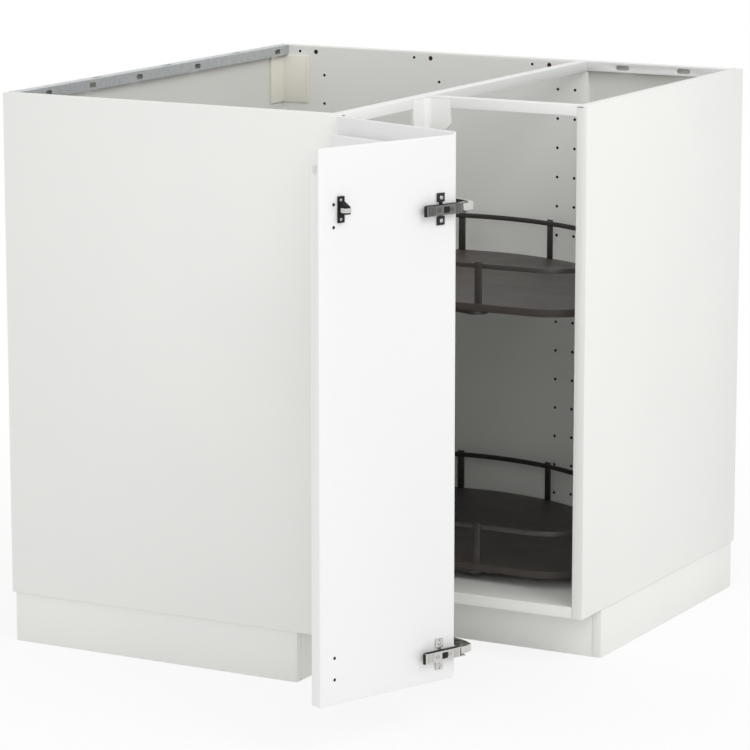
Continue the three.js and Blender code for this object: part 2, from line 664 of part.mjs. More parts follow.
function addPole() {
  const x = POLE_OFFSET;
  const y = -POLE_OFFSET;
  const bore = (from, to) => rod("z", POLE_RADIUS + SEAT_GAP, from - 1, to + 1, x, y, 20);
  addPart(corner, "carousel_pole", rod("z", POLE_RADIUS, DECK, POLE_TOP, x, y, 20), FINISHES.darkSteel);

  const hubUnderside = (level) => TRAY_TOPS[level] - TRAY_THICKNESS - HUB_ARM_THICKNESS - SEAT_GAP;
  const bearingTop = hubUnderside("lower");
  const bearing = cut(rod("z", FLOOR_BEARING_RADIUS, DECK, bearingTop, x, y, 20), bore(DECK, bearingTop));
  addPart(corner, "pole_floor_bearing", bearing, FINISHES.blackPlastic);

  const clampTop = hubUnderside("upper");
  const clampBottom = clampTop - CLAMP_HEIGHT;
  const clamp = cut(rod("z", CLAMP_RADIUS, clampBottom, clampTop, x, y, 20), bore(clampBottom, clampTop));
  addPart(corner, "upper_clamp_ring", clamp, FINISHES.darkSteel);

  const { width, height, thickness } = POLE_PLATE;
  const board = -INNER_SIDE;
  const armBottom = POLE_TOP - POLE_ARM_HEIGHT;
  const half = POLE_ARM_WIDTH / 2;
  const bracket = cut(
    join(
      block(x - width / 2, x + width / 2, board, board + thickness, POLE_TOP - height, POLE_TOP),
      block(x - half, x + half, board + thickness / 2, y, armBottom, POLE_TOP),
      rod("z", POLE_RING_RADIUS, armBottom, POLE_TOP, x, y, 20),
    ),
    bore(armBottom, POLE_TOP),
  );
  addPart(corner, "pole_top_bracket", bracket, FINISHES.darkSteel);
}

// ---- Hinges ----

// A cross-shaped mounting plate: wings up and down, and a rib that the arm clips over. It lies on a
// board's face in the X-Z plane, with the board's edge at x = 0 and the room side towards +Y.
function mountingPlate(height, face, side) {
  const middle = side * PLATE_INSET;
  const wing = PLATE_WIDTH / 2;
  const rib = PLATE_RIB_LENGTH / 2;
  const low = face + SEAT_GAP;
  const layer = (half, thickness, halfHeight) =>
    block(middle - half, middle + half, low, low + thickness, height - halfHeight, height + halfHeight);
  return join(
    layer(wing, PLATE_THICKNESS, PLATE_HALF_HEIGHT),
    layer(rib, PLATE_RIB_HEIGHT, PLATE_RIB_HALF_HEIGHT),
  );
}

// A channel that covers the rib: one web with two cheeks, open towards the board and at one end.
function armChannel(height, face, closedEnd, openEnd) {
  const web = face + ARM_RAISE;
  const low = face + ARM_CLEARANCE;
  const way = Math.sign(openEnd - closedEnd);
  const hollow = [closedEnd + way * ARM_WALL, openEnd + way];
  const half = ARM_HALF_HEIGHT;
  const inside = half - ARM_WALL;
  const length = ([a, b], ...rest) => block(Math.min(a, b), Math.max(a, b), ...rest);
  return cut(
    length([closedEnd, openEnd], low, web, height - half, height + half),
    length(hollow, low - 1, web - ARM_WALL, height - inside, height + inside),
  );
}

// The pin at a link's far end, between the two ears of a cup.
function earPin(x, y, height) {
  const half = CUP_EAR_INNER - SEAT_GAP;
  return rod("z", LINK_PIN_RADIUS, height - half, height + half, x, y, 8);
}

function addCabinetHinge(position) {
  const height = HINGE_HEIGHTS[position];
  const group = place(corner, WING_DEPTH, -WALL_RUN);
  const plate = mountingPlate(height, BOARD, -1);
  addPart(group, "cabinet_hinge_plate_" + position, plate, FINISHES.nickel);

  const web = BOARD + ARM_RAISE;
  const nose = [
    [-NOSE_ROOT, BOARD + ARM_CLEARANCE],
    [NOSE_ROOT, BOARD + ARM_CLEARANCE],
    [NOSE_ROOT, NOSE_START],
    [NOSE_REACH, NOSE_START],
    [NOSE_REACH, web - ARM_WALL],
    [-NOSE_ROOT, web - ARM_WALL],
  ];
  const [inside, outside] = NOSE_CHEEKS;
  const [pinX, pinY] = CABINET_PIN;
  const arm = cut(
    join(
      armChannel(height, BOARD, -ARM_LENGTH, 2),
      prism("z", nose, height + inside, height + outside),
      prism("z", nose, height - outside, height - inside),
    ),
    rod("z", LINK_PIN_HOLE, height - ARM_HALF_HEIGHT - 1, height + ARM_HALF_HEIGHT + 1, pinX, pinY, 8),
  );
  addPart(group, "cabinet_hinge_arm_" + position, arm, FINISHES.nickel);

  const link = place(group, pinX, pinY, CABINET_LINK_SHUT - CABINET_LINK_RATIO * DOOR_OPEN);
  const half = inside - SEAT_GAP;
  const bar = bandOutline([[0, 0], [CABINET_LINK_LENGTH, 0]], CABINET_LINK_HALF_WIDTH);
  const linkSolid = join(
    prism("z", bar, height - half, height + half),
    rod("z", LINK_PIN_RADIUS, height - outside, height + outside, 0, 0, 8),
    earPin(CABINET_LINK_LENGTH, 0, height),
  );
  addPart(link, "cabinet_hinge_link_" + position, linkSolid, FINISHES.nickel);
}

// A hinge cup let into the left leaf's inner face, which looks towards -X, with two ears that
// stand past its mouth.
function hingeCup(along, height, { start, end, reach }) {
  const mouth = DOOR_GAP - CUP_FLANGE - SEAT_GAP;
  const floor = DOOR_GAP + CUP_DEPTH;
  const flange = block(
    mouth,
    mouth + CUP_FLANGE,
    along - CUP_FLANGE_HALF_WIDTH,
    along + CUP_FLANGE_HALF_WIDTH,
    height - CUP_FLANGE_HALF_HEIGHT,
    height + CUP_FLANGE_HALF_HEIGHT,
  );
  const neck = rod("x", CUP_RADIUS, mouth, DOOR_GAP + 1, along, height, CUP_SIDES).intersect(
    block(mouth, DOOR_GAP + 1, along - CUP_FLANGE_HALF_WIDTH, along + CUP_FLANGE_HALF_WIDTH, 0, TOP),
  );
  const cup = cut(
    join(rod("x", CUP_RADIUS, DOOR_GAP, floor, along, height, CUP_SIDES), neck, flange),
    rod("x", CUP_RADIUS - CUP_WALL, mouth - 1, floor - CUP_WALL, along, height, CUP_SIDES),
  );
  const inner = CUP_EAR_INNER;
  const outer = inner + CUP_EAR_THICKNESS;
  const ear = (low, high) =>
    block(DOOR_GAP - reach, floor - CUP_WALL / 2, along + start, along + end, height + low, height + high);
  return join(cup, ear(inner, outer), ear(-outer, -inner));
}

function addFoldHinge(leaf, position) {
  const height = HINGE_HEIGHTS[position];
  const face = LEAF_INNER;
  const plateGroup = place(leaf, FOLD_GAP, 0);
  addPart(plateGroup, "fold_hinge_plate_" + position, mountingPlate(height, face, 1), FINISHES.nickel);

  const [pinX, pinY] = FOLD_PIN;
  const arm = cut(
    armChannel(height, face, FOLD_GAP + ARM_LENGTH, -FOLD_ARM_PAST_EDGE),
    rod("z", LINK_PIN_HOLE, height - ARM_HALF_HEIGHT - 1, height + ARM_HALF_HEIGHT + 1, pinX, pinY, 8),
  );
  addPart(leaf, "fold_hinge_arm_" + position, arm, FINISHES.nickel);

  const link = place(leaf, pinX, pinY, FOLD_LINK_RATIO * FOLD_AT_REST);
  const path = FOLD_LINK.map(([x, y]) => [x - pinX, y - pinY]);
  const [tipX, tipY] = path[path.length - 1];
  const linkSolid = join(
    prism(
      "z",
      bandOutline(path, FOLD_LINK_HALF_WIDTH),
      height - FOLD_LINK_HALF_HEIGHT,
      height + FOLD_LINK_HALF_HEIGHT,
    ),
    rod("z", LINK_PIN_RADIUS, height - ARM_HALF_HEIGHT, height + ARM_HALF_HEIGHT, 0, 0, 8),
    earPin(tipX, tipY, height),
  );
  addPart(link, "fold_hinge_link_" + position, linkSolid, FINISHES.nickel);
}

// ---- Doors ----

// A leaf's section: thickness from the inner face, then height. The finger pull is a recess along
// the whole top edge, with a lip at the outer face and a groove behind it.
function leafSection() {
  const recess = DOOR_TOP - PULL_DEPTH;
  const groove = recess - PULL_GROOVE;
  const t = DOOR_THICKNESS;
  return [
    [0, DOOR_BOTTOM],
    [t, DOOR_BOTTOM],
    [t, recess - PULL_EDGE],
    [t - PULL_EDGE, recess],
    [t - PULL_LIP, recess],
    [t - PULL_LIP - 1, groove + PULL_GROOVE_CORNER],
    [t - PULL_LIP - PULL_GROOVE_CORNER, groove],
    [PULL_WEB + PULL_GROOVE_CORNER - 1, groove],
    [PULL_WEB + 0.5, groove + PULL_GROOVE_CORNER],
    [PULL_WEB, recess],
    [PULL_WEB, DOOR_TOP - 1],
    [PULL_WEB - 1, DOOR_TOP],
    [0, DOOR_TOP],
  ];
}

function addGuideRoller(leaf) {
  const height = DOOR_TOP - ROLLER_BELOW_TOP;
  const x = RIGHT_LEAF_END - ROLLER_FROM_EDGE;
  const face = LEAF_INNER + SEAT_GAP;
  const { width, height: tall, thickness } = ROLLER_BASE;
  const gap = ROLLER_HEIGHT / 2 + SEAT_GAP;
  const outer = gap + FORK_THICKNESS;
  const axle = LEAF_INNER + ROLLER_OFF_FACE;
  const forkEnd = LEAF_INNER + FORK_REACH;
  const fork = (low, high) => block(x - FORK_HALF_WIDTH, x + FORK_HALF_WIDTH, face, forkEnd, low, high);
  const gussetLow = height + outer - FORK_THICKNESS / 4;
  const gussetHigh = height + tall / 2 - GUSSET_DROP;
  const gusset = [
    [face, gussetLow],
    [forkEnd - GUSSET_SET_BACK, gussetLow],
    [face + thickness, gussetHigh],
    [face, gussetHigh],
  ];
  const bracket = join(
    block(x - width / 2, x + width / 2, face, face + thickness, height - tall / 2, height + tall / 2),
    fork(height + gap, height + outer),
    fork(height - outer, height - gap),
    prism("x", gusset, x - GUSSET_HALF_THICKNESS, x + GUSSET_HALF_THICKNESS),
    rod("z", ROLLER_AXLE_RADIUS, height - gap - 1, height + gap + 1, x, axle, 8),
  );
  addPart(leaf, "roller_bracket", bracket, FINISHES.blackPlastic);
  const roller = cut(
    rod("z", ROLLER_RADIUS, height - ROLLER_HEIGHT / 2, height + ROLLER_HEIGHT / 2, x, axle, 16),
    rod("z", ROLLER_AXLE_RADIUS + SEAT_GAP, height - ROLLER_HEIGHT, height + ROLLER_HEIGHT, x, axle, 8),
  );
  addPart(leaf, "guide_roller", roller, FINISHES.rollerPlastic);
}

function addDoors() {
  const swing = place(corner, WING_DEPTH, -WALL_RUN, -DOOR_OPEN);
  const cupDepth = DOOR_GAP + CUP_DEPTH + SEAT_GAP;
  const section = leafSection();
  const pockets = [];
  for (const height of Object.values(HINGE_HEIGHTS))
    for (const along of [CABINET_CUP_INSET, FOLD_AXIS_Y - FOLD_CUP_INSET])
      pockets.push(rod("x", CUP_RADIUS + SEAT_GAP, 0, cupDepth, along, height, CUP_SIDES));
  const leftSection = section.map(([t, z]) => [DOOR_GAP + t, z]);
  const leftLeaf = cut(prism("y", leftSection, LEAF_START, LEFT_LEAF_END), ...pockets);
  addPart(swing, "door_leaf_left", leftLeaf, FINISHES.whiteDoor);
  for (const [position, height] of Object.entries(HINGE_HEIGHTS)) {
    const cabinetCup = hingeCup(CABINET_CUP_INSET, height, CABINET_EARS);
    addPart(swing, "cabinet_hinge_cup_" + position, cabinetCup, FINISHES.nickel);
    const foldCup = hingeCup(FOLD_AXIS_Y - FOLD_CUP_INSET, height, FOLD_EARS);
    addPart(swing, "fold_hinge_cup_" + position, foldCup, FINISHES.nickel);
    addCabinetHinge(position);
  }

  const fold = place(swing, FOLD_AXIS_X, FOLD_AXIS_Y, -FOLD_AT_REST);
  const face = LEAF_INNER;
  const heights = [
    ...DOOR_HOLES_BELOW_TOP.map((drop) => DOOR_TOP - drop),
    ...DOOR_HOLES_ABOVE_BOTTOM.map((rise) => DOOR_BOTTOM + rise),
  ];
  const holes = heights.map((height) =>
    rod("y", PIN_HOLE_RADIUS, face - PIN_HOLE_DEPTH, face + 1, RIGHT_LEAF_END - DOOR_HOLE_EDGE, height, 6),
  );
  const rightSection = section.map(([t, z]) => [face - t, z]).reverse();
  const rightLeaf = cut(prism("x", rightSection, FOLD_GAP, RIGHT_LEAF_END), ...holes);
  addPart(fold, "door_leaf_right", rightLeaf, FINISHES.whiteDoor);
  for (const position of Object.keys(HINGE_HEIGHTS)) addFoldHinge(fold, position);
  addGuideRoller(fold);
}

addBoards();
addRails();
addBrackets();
addPlinth();
addLegs();
addPole();
addTray("upper");
addTray("lower");
addDoors();

export default cabinet;
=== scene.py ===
"""A corner carousel cabinet with its folding doors open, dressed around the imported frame.
Metres, +Z up. The origin is under the leg in the back corner; X runs along the rear wall."""
from math import atan2, cos, hypot, pi, radians, sin, sqrt

import bpy
from mathutils import Matrix, Vector


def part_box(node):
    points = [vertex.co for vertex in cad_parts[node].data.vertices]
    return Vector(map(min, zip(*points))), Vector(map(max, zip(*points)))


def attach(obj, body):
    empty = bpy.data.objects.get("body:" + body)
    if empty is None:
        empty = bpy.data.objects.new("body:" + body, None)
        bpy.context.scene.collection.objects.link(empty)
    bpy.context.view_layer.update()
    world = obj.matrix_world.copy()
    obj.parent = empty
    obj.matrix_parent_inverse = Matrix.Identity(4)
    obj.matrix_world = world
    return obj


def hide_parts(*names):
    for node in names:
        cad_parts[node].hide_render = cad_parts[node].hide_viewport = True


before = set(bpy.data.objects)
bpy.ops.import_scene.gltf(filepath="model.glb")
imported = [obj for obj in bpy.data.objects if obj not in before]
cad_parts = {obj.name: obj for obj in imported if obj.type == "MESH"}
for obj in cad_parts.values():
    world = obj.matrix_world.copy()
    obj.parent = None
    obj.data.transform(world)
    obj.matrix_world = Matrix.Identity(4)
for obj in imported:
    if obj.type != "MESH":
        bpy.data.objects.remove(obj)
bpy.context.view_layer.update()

# ---- Camera ----
# The photograph's view: past the open doors into the carousel, about eleven degrees down,
# through a long lens from six metres away.
CAMERA_PLACE = (3.1036, -5.3984, 1.5118)
CAMERA_DOWN = 11.025
CAMERA_ROUND = 28.644
scene = bpy.context.scene
bpy.ops.object.camera_add(
    location=CAMERA_PLACE, rotation=(radians(90 - CAMERA_DOWN), 0, radians(CAMERA_ROUND))
)
camera = bpy.context.object
camera.data.lens = 171.5
camera.data.clip_end = 200
scene.camera = camera

# ---- Floor, lamps and background ----
# A plain pale floor that keeps the cabinet's shadow and runs out to white, a large soft lamp high
# on the open side, a weaker one in front, and an even white surround.
WHITE = (1, 1, 1, 1)
SURROUND = (0.99, 0.995, 1.0, 1)
SURROUND_STRENGTH = 0.79
FLOOR_GREY = (0.93, 0.93, 0.93, 1)
FLOOR_SIZE = 120
FLOOR_DROP = 0.0006
FLOOR_MIDDLE = (0.4, -0.4, 0)
LIT_POINT = Vector((0.45, -0.45, 0.45))
LAMPS = (((4.9, -2.3, 4.7), 3.2, 84), ((3.3, -6.4, 2.4), 2.6, 44))  # place, size and energy
scene.view_settings.view_transform = "Standard"


def node(tree, kind, **inputs):
    """A new node with these inputs set; an underscore stands for a space."""
    made = tree.nodes.new(kind)
    for name, value in inputs.items():
        made.inputs[name.replace("_", " ")].default_value = value
    return made


def seen_directly(tree):
    """1 for what the camera, a mirror or clear plastic shows, and 0 for what only lights."""
    path = node(tree, "ShaderNodeLightPath")
    total = path.outputs["Is Camera Ray"]
    for ray in ("Is Glossy Ray", "Is Transmission Ray"):
        add = node(tree, "ShaderNodeMath")
        add.operation = "MAXIMUM"
        tree.links.new(total, add.inputs[0])
        tree.links.new(path.outputs[ray], add.inputs[1])
        total = add.outputs[0]
    return total


def lit_and_shown(tree, lighting, shown, share, end):
    """Ends a tree with one shader that lights, and another for the share that is shown."""
    blend = node(tree, "ShaderNodeMixShader")
    output = node(tree, end)
    tree.links.new(share, blend.inputs["Fac"])
    tree.links.new(lighting.outputs[0], blend.inputs[1])
    tree.links.new(shown.outputs[0], blend.inputs[2])
    tree.links.new(blend.outputs[0], output.inputs["Surface"])


world = bpy.data.worlds.new("studio")
scene.world = world
world.use_nodes = True
tree = world.node_tree
tree.nodes.clear()
shown = node(tree, "ShaderNodeBackground", Color=WHITE, Strength=1.0)
lighting = node(tree, "ShaderNodeBackground", Color=SURROUND, Strength=SURROUND_STRENGTH)
lit_and_shown(tree, lighting, shown, seen_directly(tree), "ShaderNodeOutputWorld")

bpy.ops.mesh.primitive_plane_add(size=FLOOR_SIZE, location=(0, 0, -FLOOR_DROP))
floor = bpy.context.object
floor.name = "floor"
floor_paint = bpy.data.materials.new("floor_paint")
floor_paint.use_nodes = True
tree = floor_paint.node_tree
tree.nodes.clear()
matt = node(tree, "ShaderNodeBsdfDiffuse", Color=FLOOR_GREY)
glow = node(tree, "ShaderNodeEmission", Color=WHITE, Strength=1.0)
place = node(tree, "ShaderNodeTexCoord")
distance = node(tree, "ShaderNodeVectorMath")
distance.operation = "DISTANCE"
distance.inputs[1].default_value = FLOOR_MIDDLE
run_out = node(tree, "ShaderNodeMapRange", From_Min=0.7, From_Max=1.8, To_Min=0.82, To_Max=1.0)
share = node(tree, "ShaderNodeMath")
share.operation = "MULTIPLY"
tree.links.new(place.outputs["Object"], distance.inputs[0])
tree.links.new(distance.outputs["Value"], run_out.inputs["Value"])
tree.links.new(seen_directly(tree), share.inputs[0])
tree.links.new(run_out.outputs[0], share.inputs[1])
lit_and_shown(tree, matt, glow, share.outputs[0], "ShaderNodeOutputMaterial")
floor.data.materials.append(floor_paint)

for place, size, energy in LAMPS:
    bpy.ops.object.light_add(type="AREA", location=place)
    lamp = bpy.context.object
    lamp.data.shape = "DISK"
    lamp.data.size = size
    lamp.data.energy = energy
    aim = LIT_POINT - lamp.location
    lamp.rotation_euler = aim.to_track_quat("-Z", "Y").to_euler()

# ---- White boards ----
# Three side boards and two bottoms of melamine-faced particleboard, edged in the same white.
# Shelf-pin holes are drilled in columns and lined with near-black painted shade; the larger holes in
# the top row show the brown core. A slit in the top front corner of the left and right boards takes a
# tab of the front rails, and is lined with the same painted shade.
BOARD = 0.018
EDGE_ROUND = 0.0009
PIN_HOLE = 0.0025
PIN_HOLE_DEPTH = 0.010
PIN_HOLE_STEP = 0.050
PIN_HOLES = 15
SHELF_COLUMNS = (0.091, 0.318, 0.545, 0.577)
SIDE_COLUMNS = (0.091, 0.545)
TOP_ROW_DROP = 0.010
TOP_ROW_SMALL = (0.042, 0.269, 0.496)
TOP_ROW_LARGE = (0.074, 0.301, 0.528)
TOP_ROW_LARGE_HOLE = 0.004
GROOVE = 0.006
SLIT_LENGTH = 0.016
SLIT_DEPTH_LEFT = 0.009
SLIT_DEPTH_RIGHT = 0.011
SLIT_FOOT_DROP = 0.0028
SLIT_TOP_DROP = 0.0016
PAST = 0.001  # how far a cutter stands out of the face that it cuts
rear_low, rear_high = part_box("rear_side_panel")
WALL = Vector((rear_low.x, rear_high.y, 0))  # where the two walls meet
TOP = rear_high.z


def new_material(name):
    made = bpy.data.materials.new(name)
    made.use_nodes = True
    return made, made.node_tree, made.node_tree.nodes["Principled BSDF"]


def object_noise(tree, scale, detail=2.0):
    """Noise that belongs to the piece: its scale is in bumps per metre."""
    place = node(tree, "ShaderNodeTexCoord")
    noise = node(tree, "ShaderNodeTexNoise", Scale=scale, Detail=detail, Roughness=0.5)
    tree.links.new(place.outputs["Object"], noise.inputs["Vector"])
    return noise.outputs["Fac"]


def spread(tree, source, low, high):
    """Maps a noise's middle range to low..high."""
    ramp = node(tree, "ShaderNodeMapRange", From_Min=0.3, From_Max=0.7, To_Min=low, To_Max=high)
    tree.links.new(source, ramp.inputs["Value"])
    return ramp.outputs[0]


def shade(tree, source, colour, other):
    """Mixes two colours by a noise's middle range."""
    mix = node(tree, "ShaderNodeMix")
    mix.data_type = "RGBA"
    mix.inputs["A"].default_value = (*colour, 1)
    mix.inputs["B"].default_value = (*other, 1)
    tree.links.new(spread(tree, source, 0, 1), mix.inputs["Factor"])
    return mix.outputs["Result"]


def bumps(tree, source, height, under=None):
    """A relief of this height, over the one under it, if there is one."""
    bump = node(tree, "ShaderNodeBump", Strength=1.0, Distance=height)
    tree.links.new(source, bump.inputs["Height"])
    if under is not None:
        tree.links.new(under, bump.inputs["Normal"])
    return bump.outputs[0]


def finish(name, colour, other, rough, texture, height, metallic=0.0, gloss=0.5, drift=3.0):
    """A real surface: two close colours drifting over it, uneven gloss and a fine relief.
    rough is (low, high); texture is the relief's scale per metre and height its depth."""
    made, tree, shader = new_material(name)
    shader.inputs["Metallic"].default_value = metallic
    shader.inputs["Specular IOR Level"].default_value = gloss
    tint = shade(tree, object_noise(tree, drift, detail=3.0), colour, other)
    gloss_drift = spread(tree, object_noise(tree, drift * 6), *rough)
    relief = bumps(tree, object_noise(tree, texture), height)
    tree.links.new(tint, shader.inputs["Base Color"])
    tree.links.new(gloss_drift, shader.inputs["Roughness"])
    tree.links.new(relief, shader.inputs["Normal"])
    return made


melamine = finish(
    "white_melamine", (0.868, 0.868, 0.836), (0.848, 0.85, 0.82),
    rough=(0.42, 0.5), texture=900, height=0.00006,
)
chipboard = finish(
    "particleboard_core", (0.30, 0.19, 0.10), (0.16, 0.09, 0.045),
    rough=(0.85, 0.95), texture=600, height=0.0006, drift=500,
)
# Near-black painted shade that lines the small pin holes and the rail slits, darker than the brown
# core they cut.
painted_hole_shade = finish(
    "painted_shade_in_holes", (0.035, 0.026, 0.018), (0.018, 0.013, 0.009),
    rough=(0.85, 0.95), texture=600, height=0.0004, drift=500,
)


def choose(*objects):
    """Selects just these objects, the last one active."""
    bpy.ops.object.select_all(action="DESELECT")
    for thing in objects:
        thing.select_set(True)
    bpy.context.view_layer.objects.active = objects[-1]


def settle(piece, name):
    """Puts a new piece's place, turn and scale into its mesh, and names it."""
    choose(piece)
    bpy.ops.object.transform_apply(location=True, rotation=True, scale=True)
    piece.name = name
    piece.data.name = name
    return piece


def box_piece(corner, far_corner, name="block"):
    low, high = Vector(map(min, corner, far_corner)), Vector(map(max, corner, far_corner))
    bpy.ops.object.select_all(action="DESELECT")
    bpy.ops.mesh.primitive_cube_add(size=1, location=(low + high) / 2)
    piece = bpy.context.object
    piece.scale = high - low
    return settle(piece, name)


AXIS_TURNS = {"x": (0, pi / 2, 0), "y": (-pi / 2, 0, 0), "z": (0, 0, 0)}


def round_piece(radius, length, centre, axis, sides, name="rod"):
    bpy.ops.object.select_all(action="DESELECT")
    bpy.ops.mesh.primitive_cylinder_add(
        vertices=sides, radius=radius, depth=length, location=centre, rotation=AXIS_TURNS[axis]
    )
    return settle(bpy.context.object, name)


def edged(piece, width, segments=2, angle=30):
    """Breaks the sharp edges, as a moulded, pressed or edged piece has them."""
    bevel = piece.modifiers.new("edges", "BEVEL")
    bevel.width = width
    bevel.segments = segments
    bevel.limit_method = "ANGLE"
    bevel.angle_limit = radians(angle)
    choose(piece)
    bpy.ops.object.modifier_apply(modifier=bevel.name)
    return piece


def combined(piece, others, operation):
    """Joins or cuts a piece with others, which are used up. A cut takes the cutter's material."""
    choose(*others)
    if len(others) > 1:
        bpy.ops.object.join()
    other = bpy.context.object
    boolean = piece.modifiers.new("boolean", "BOOLEAN")
    boolean.operation = operation
    boolean.solver = "EXACT"
    boolean.material_mode = "TRANSFER"
    boolean.use_self = len(others) > 1
    boolean.object = other
    choose(piece)
    bpy.ops.object.modifier_apply(modifier=boolean.name)
    bpy.data.objects.remove(other)
    return piece


def painted(piece, material):
    piece.data.materials.clear()
    piece.data.materials.append(material)
    return piece


def smoothed(piece, angle=35):
    choose(piece)
    bpy.ops.object.shade_smooth_by_angle(angle=radians(angle))
    return piece


def stands_for(piece, body, slot, *nodes):
    """A finished piece rides on its body and shows in place of the frame's plain solids."""
    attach(piece, body)
    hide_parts(*nodes)


def white_board(node_name):
    low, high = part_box(node_name)
    return painted(edged(box_piece(low, high, node_name + "_board"), EDGE_ROUND), melamine)


def drilled(board, axis, face, inward, columns, heights, radius=PIN_HOLE, core=painted_hole_shade):
    """Round holes in a board's face; columns run along the board, in the frame's own numbers."""
    middle = face + inward * (PIN_HOLE_DEPTH - PAST) / 2
    cutters = []
    for column in columns:
        for height in heights:
            centre = (middle, column, height) if axis == "x" else (column, middle, height)
            cutter = round_piece(radius, PIN_HOLE_DEPTH + PAST, centre, axis, sides=16)
            cutters.append(painted(cutter, core))
    return combined(board, cutters, "DIFFERENCE")


def carved(board, corner, far_corner, core):
    """A board with a box cut out of it, which shows its core there."""
    return combined(board, [painted(box_piece(corner, far_corner), core)], "DIFFERENCE")


left_low, left_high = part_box("left_side_panel")
right_low, right_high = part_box("right_side_panel")
pin_heights = [TOP - PIN_HOLE_STEP * count for count in range(1, PIN_HOLES + 1)]
side_columns, shelf_columns, small_columns, large_columns = (
    [WALL.x + away for away in columns]
    for columns in (SIDE_COLUMNS, SHELF_COLUMNS, TOP_ROW_SMALL, TOP_ROW_LARGE)
)
right_columns = [WALL.y - away for away in SIDE_COLUMNS]
top_row = [TOP - TOP_ROW_DROP]
left_board = drilled(white_board("left_side_panel"), "y", left_high.y, -1, side_columns, pin_heights)
rear_board = drilled(white_board("rear_side_panel"), "y", rear_low.y, 1, shelf_columns, pin_heights)
right_board = drilled(white_board("right_side_panel"), "x", right_low.x, 1, right_columns, pin_heights)
drilled(rear_board, "y", rear_low.y, 1, small_columns, top_row)
drilled(rear_board, "y", rear_low.y, 1, large_columns, top_row, TOP_ROW_LARGE_HOLE, chipboard)

# The grooves that hold the back sheets are open at the boards' tops and feet.
low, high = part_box("main_back_board")
for board, start, end in (
    (left_board, left_high.y - GROOVE, left_high.y + PAST),
    (rear_board, rear_low.y - PAST, rear_low.y + GROOVE),
):
    carved(board, (low.x, start, 0), (high.x, end, TOP + PAST), chipboard)
low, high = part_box("wing_back_board")
carved(
    right_board, (right_low.x - PAST, low.y, 0), (right_low.x + GROOVE, high.y, TOP + PAST), chipboard
)
# The slits are lined with the near-black painted shade.
for board, corner, along_x, along_y, past in (
    (left_board, left_high, -SLIT_LENGTH, -SLIT_DEPTH_LEFT, PAST),
    (right_board, right_low, SLIT_DEPTH_RIGHT, SLIT_LENGTH, -PAST),
):
    start = (corner.x + along_x, corner.y + along_y, TOP - SLIT_FOOT_DROP)
    end = (corner.x + past, corner.y + past, TOP - SLIT_TOP_DROP)
    carved(board, start, end, painted_hole_shade)
for board, side in ((left_board, "left"), (rear_board, "rear"), (right_board, "right")):
    stands_for(smoothed(board), "root", "white_board", side + "_side_panel")
for node_name in ("main_bottom_panel", "wing_bottom_panel"):
    stands_for(smoothed(white_board(node_name)), "root", "white_board", node_name)

# ---- Back sheets ----
# Two sheets of thin fibreboard, lacquered pale grey-white, stand in the boards' grooves and close
# the back of each wing.
SHEET_ROUND = 0.0003
lacquer = finish(
    "back_sheet_lacquer", (0.80, 0.80, 0.76), (0.775, 0.775, 0.74),
    rough=(0.5, 0.62), texture=700, height=0.00005,
)
for node_name in ("main_back_board", "wing_back_board"):
    low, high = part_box(node_name)
    sheet = edged(box_piece(low, high, node_name + "_sheet"), SHEET_ROUND, segments=1)
    stands_for(smoothed(painted(sheet, lacquer)), "root", "back_sheet", node_name)

# ---- White rails ----
# Folded strips of steel, powder-coated white, tie the boards together along the open top. The one
# at the rear of the short wing has two slots, and the front ones make way for the corner bracket.
STEEL = 0.0015
RAIL_ROUND = 0.00045
BRACKET_PROUD = 0.0004
ROOM = 0.0003
powder_coat = finish(
    "white_powder_coat", (0.86, 0.865, 0.85), (0.84, 0.845, 0.83),
    rough=(0.34, 0.44), texture=1500, height=0.00006,
)


def own_copy(source, name):
    """A copy of an object, with a mesh of its own."""
    piece = bpy.data.objects.new(name, source.data.copy())
    scene.collection.objects.link(piece)
    return piece


def solid_copy(node_name, name):
    """A copy of one of the frame's solids, with its loose triangles merged into whole faces."""
    piece = own_copy(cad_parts[node_name], name)
    choose(piece)
    bpy.ops.mesh.customdata_custom_splitnormals_clear()
    bpy.ops.object.mode_set(mode="EDIT")
    bpy.ops.mesh.select_all(action="SELECT")
    bpy.ops.mesh.remove_doubles(threshold=0.00001)
    bpy.ops.mesh.dissolve_limited(angle_limit=radians(1))
    bpy.ops.object.mode_set(mode="OBJECT")
    return piece


def refined(node_name, name, material, width, segments=2, angle=30):
    """A solid of the frame with its edges broken, ready for its smaller details."""
    return painted(edged(solid_copy(node_name, name), width, segments, angle), material)


angle_low, angle_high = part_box("front_corner_bracket")
notch = Vector((
    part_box("long_front_rail")[1].x + BRACKET_PROUD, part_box("wing_front_rail")[0].y - BRACKET_PROUD
))
wall_ends = ((notch.x, angle_low.y), (angle_high.x, notch.y))
for node_name in ("long_front_rail", "wing_front_rail", "wing_rear_rail"):
    rail = refined(node_name, node_name + "_strip", powder_coat, RAIL_ROUND)
    if "front" in node_name:
        start = (angle_low.x - ROOM, angle_high.y + ROOM, angle_low.z)
        rooms = [
            painted(box_piece(start, (x + ROOM, y - ROOM, TOP - STEEL - ROOM / 3)), powder_coat)
            for x, y in wall_ends
        ]
        combined(rail, rooms, "DIFFERENCE")
    stands_for(smoothed(rail), "root", "white_rail", node_name)

# ---- Suspension rail ----
# A channel of bare galvanised steel along the main wing's back: oval holes in its inner face and
# slots in its top take the fixings to the wall.
CHANNEL_ROUND = 0.0003
CHANNEL_END = 0.002
CHANNEL_LIP = 0.004
FACE_HOLES_DROP = 0.015
HOLE_ROUND = 0.0022
SAME_PLACE = 0.0001


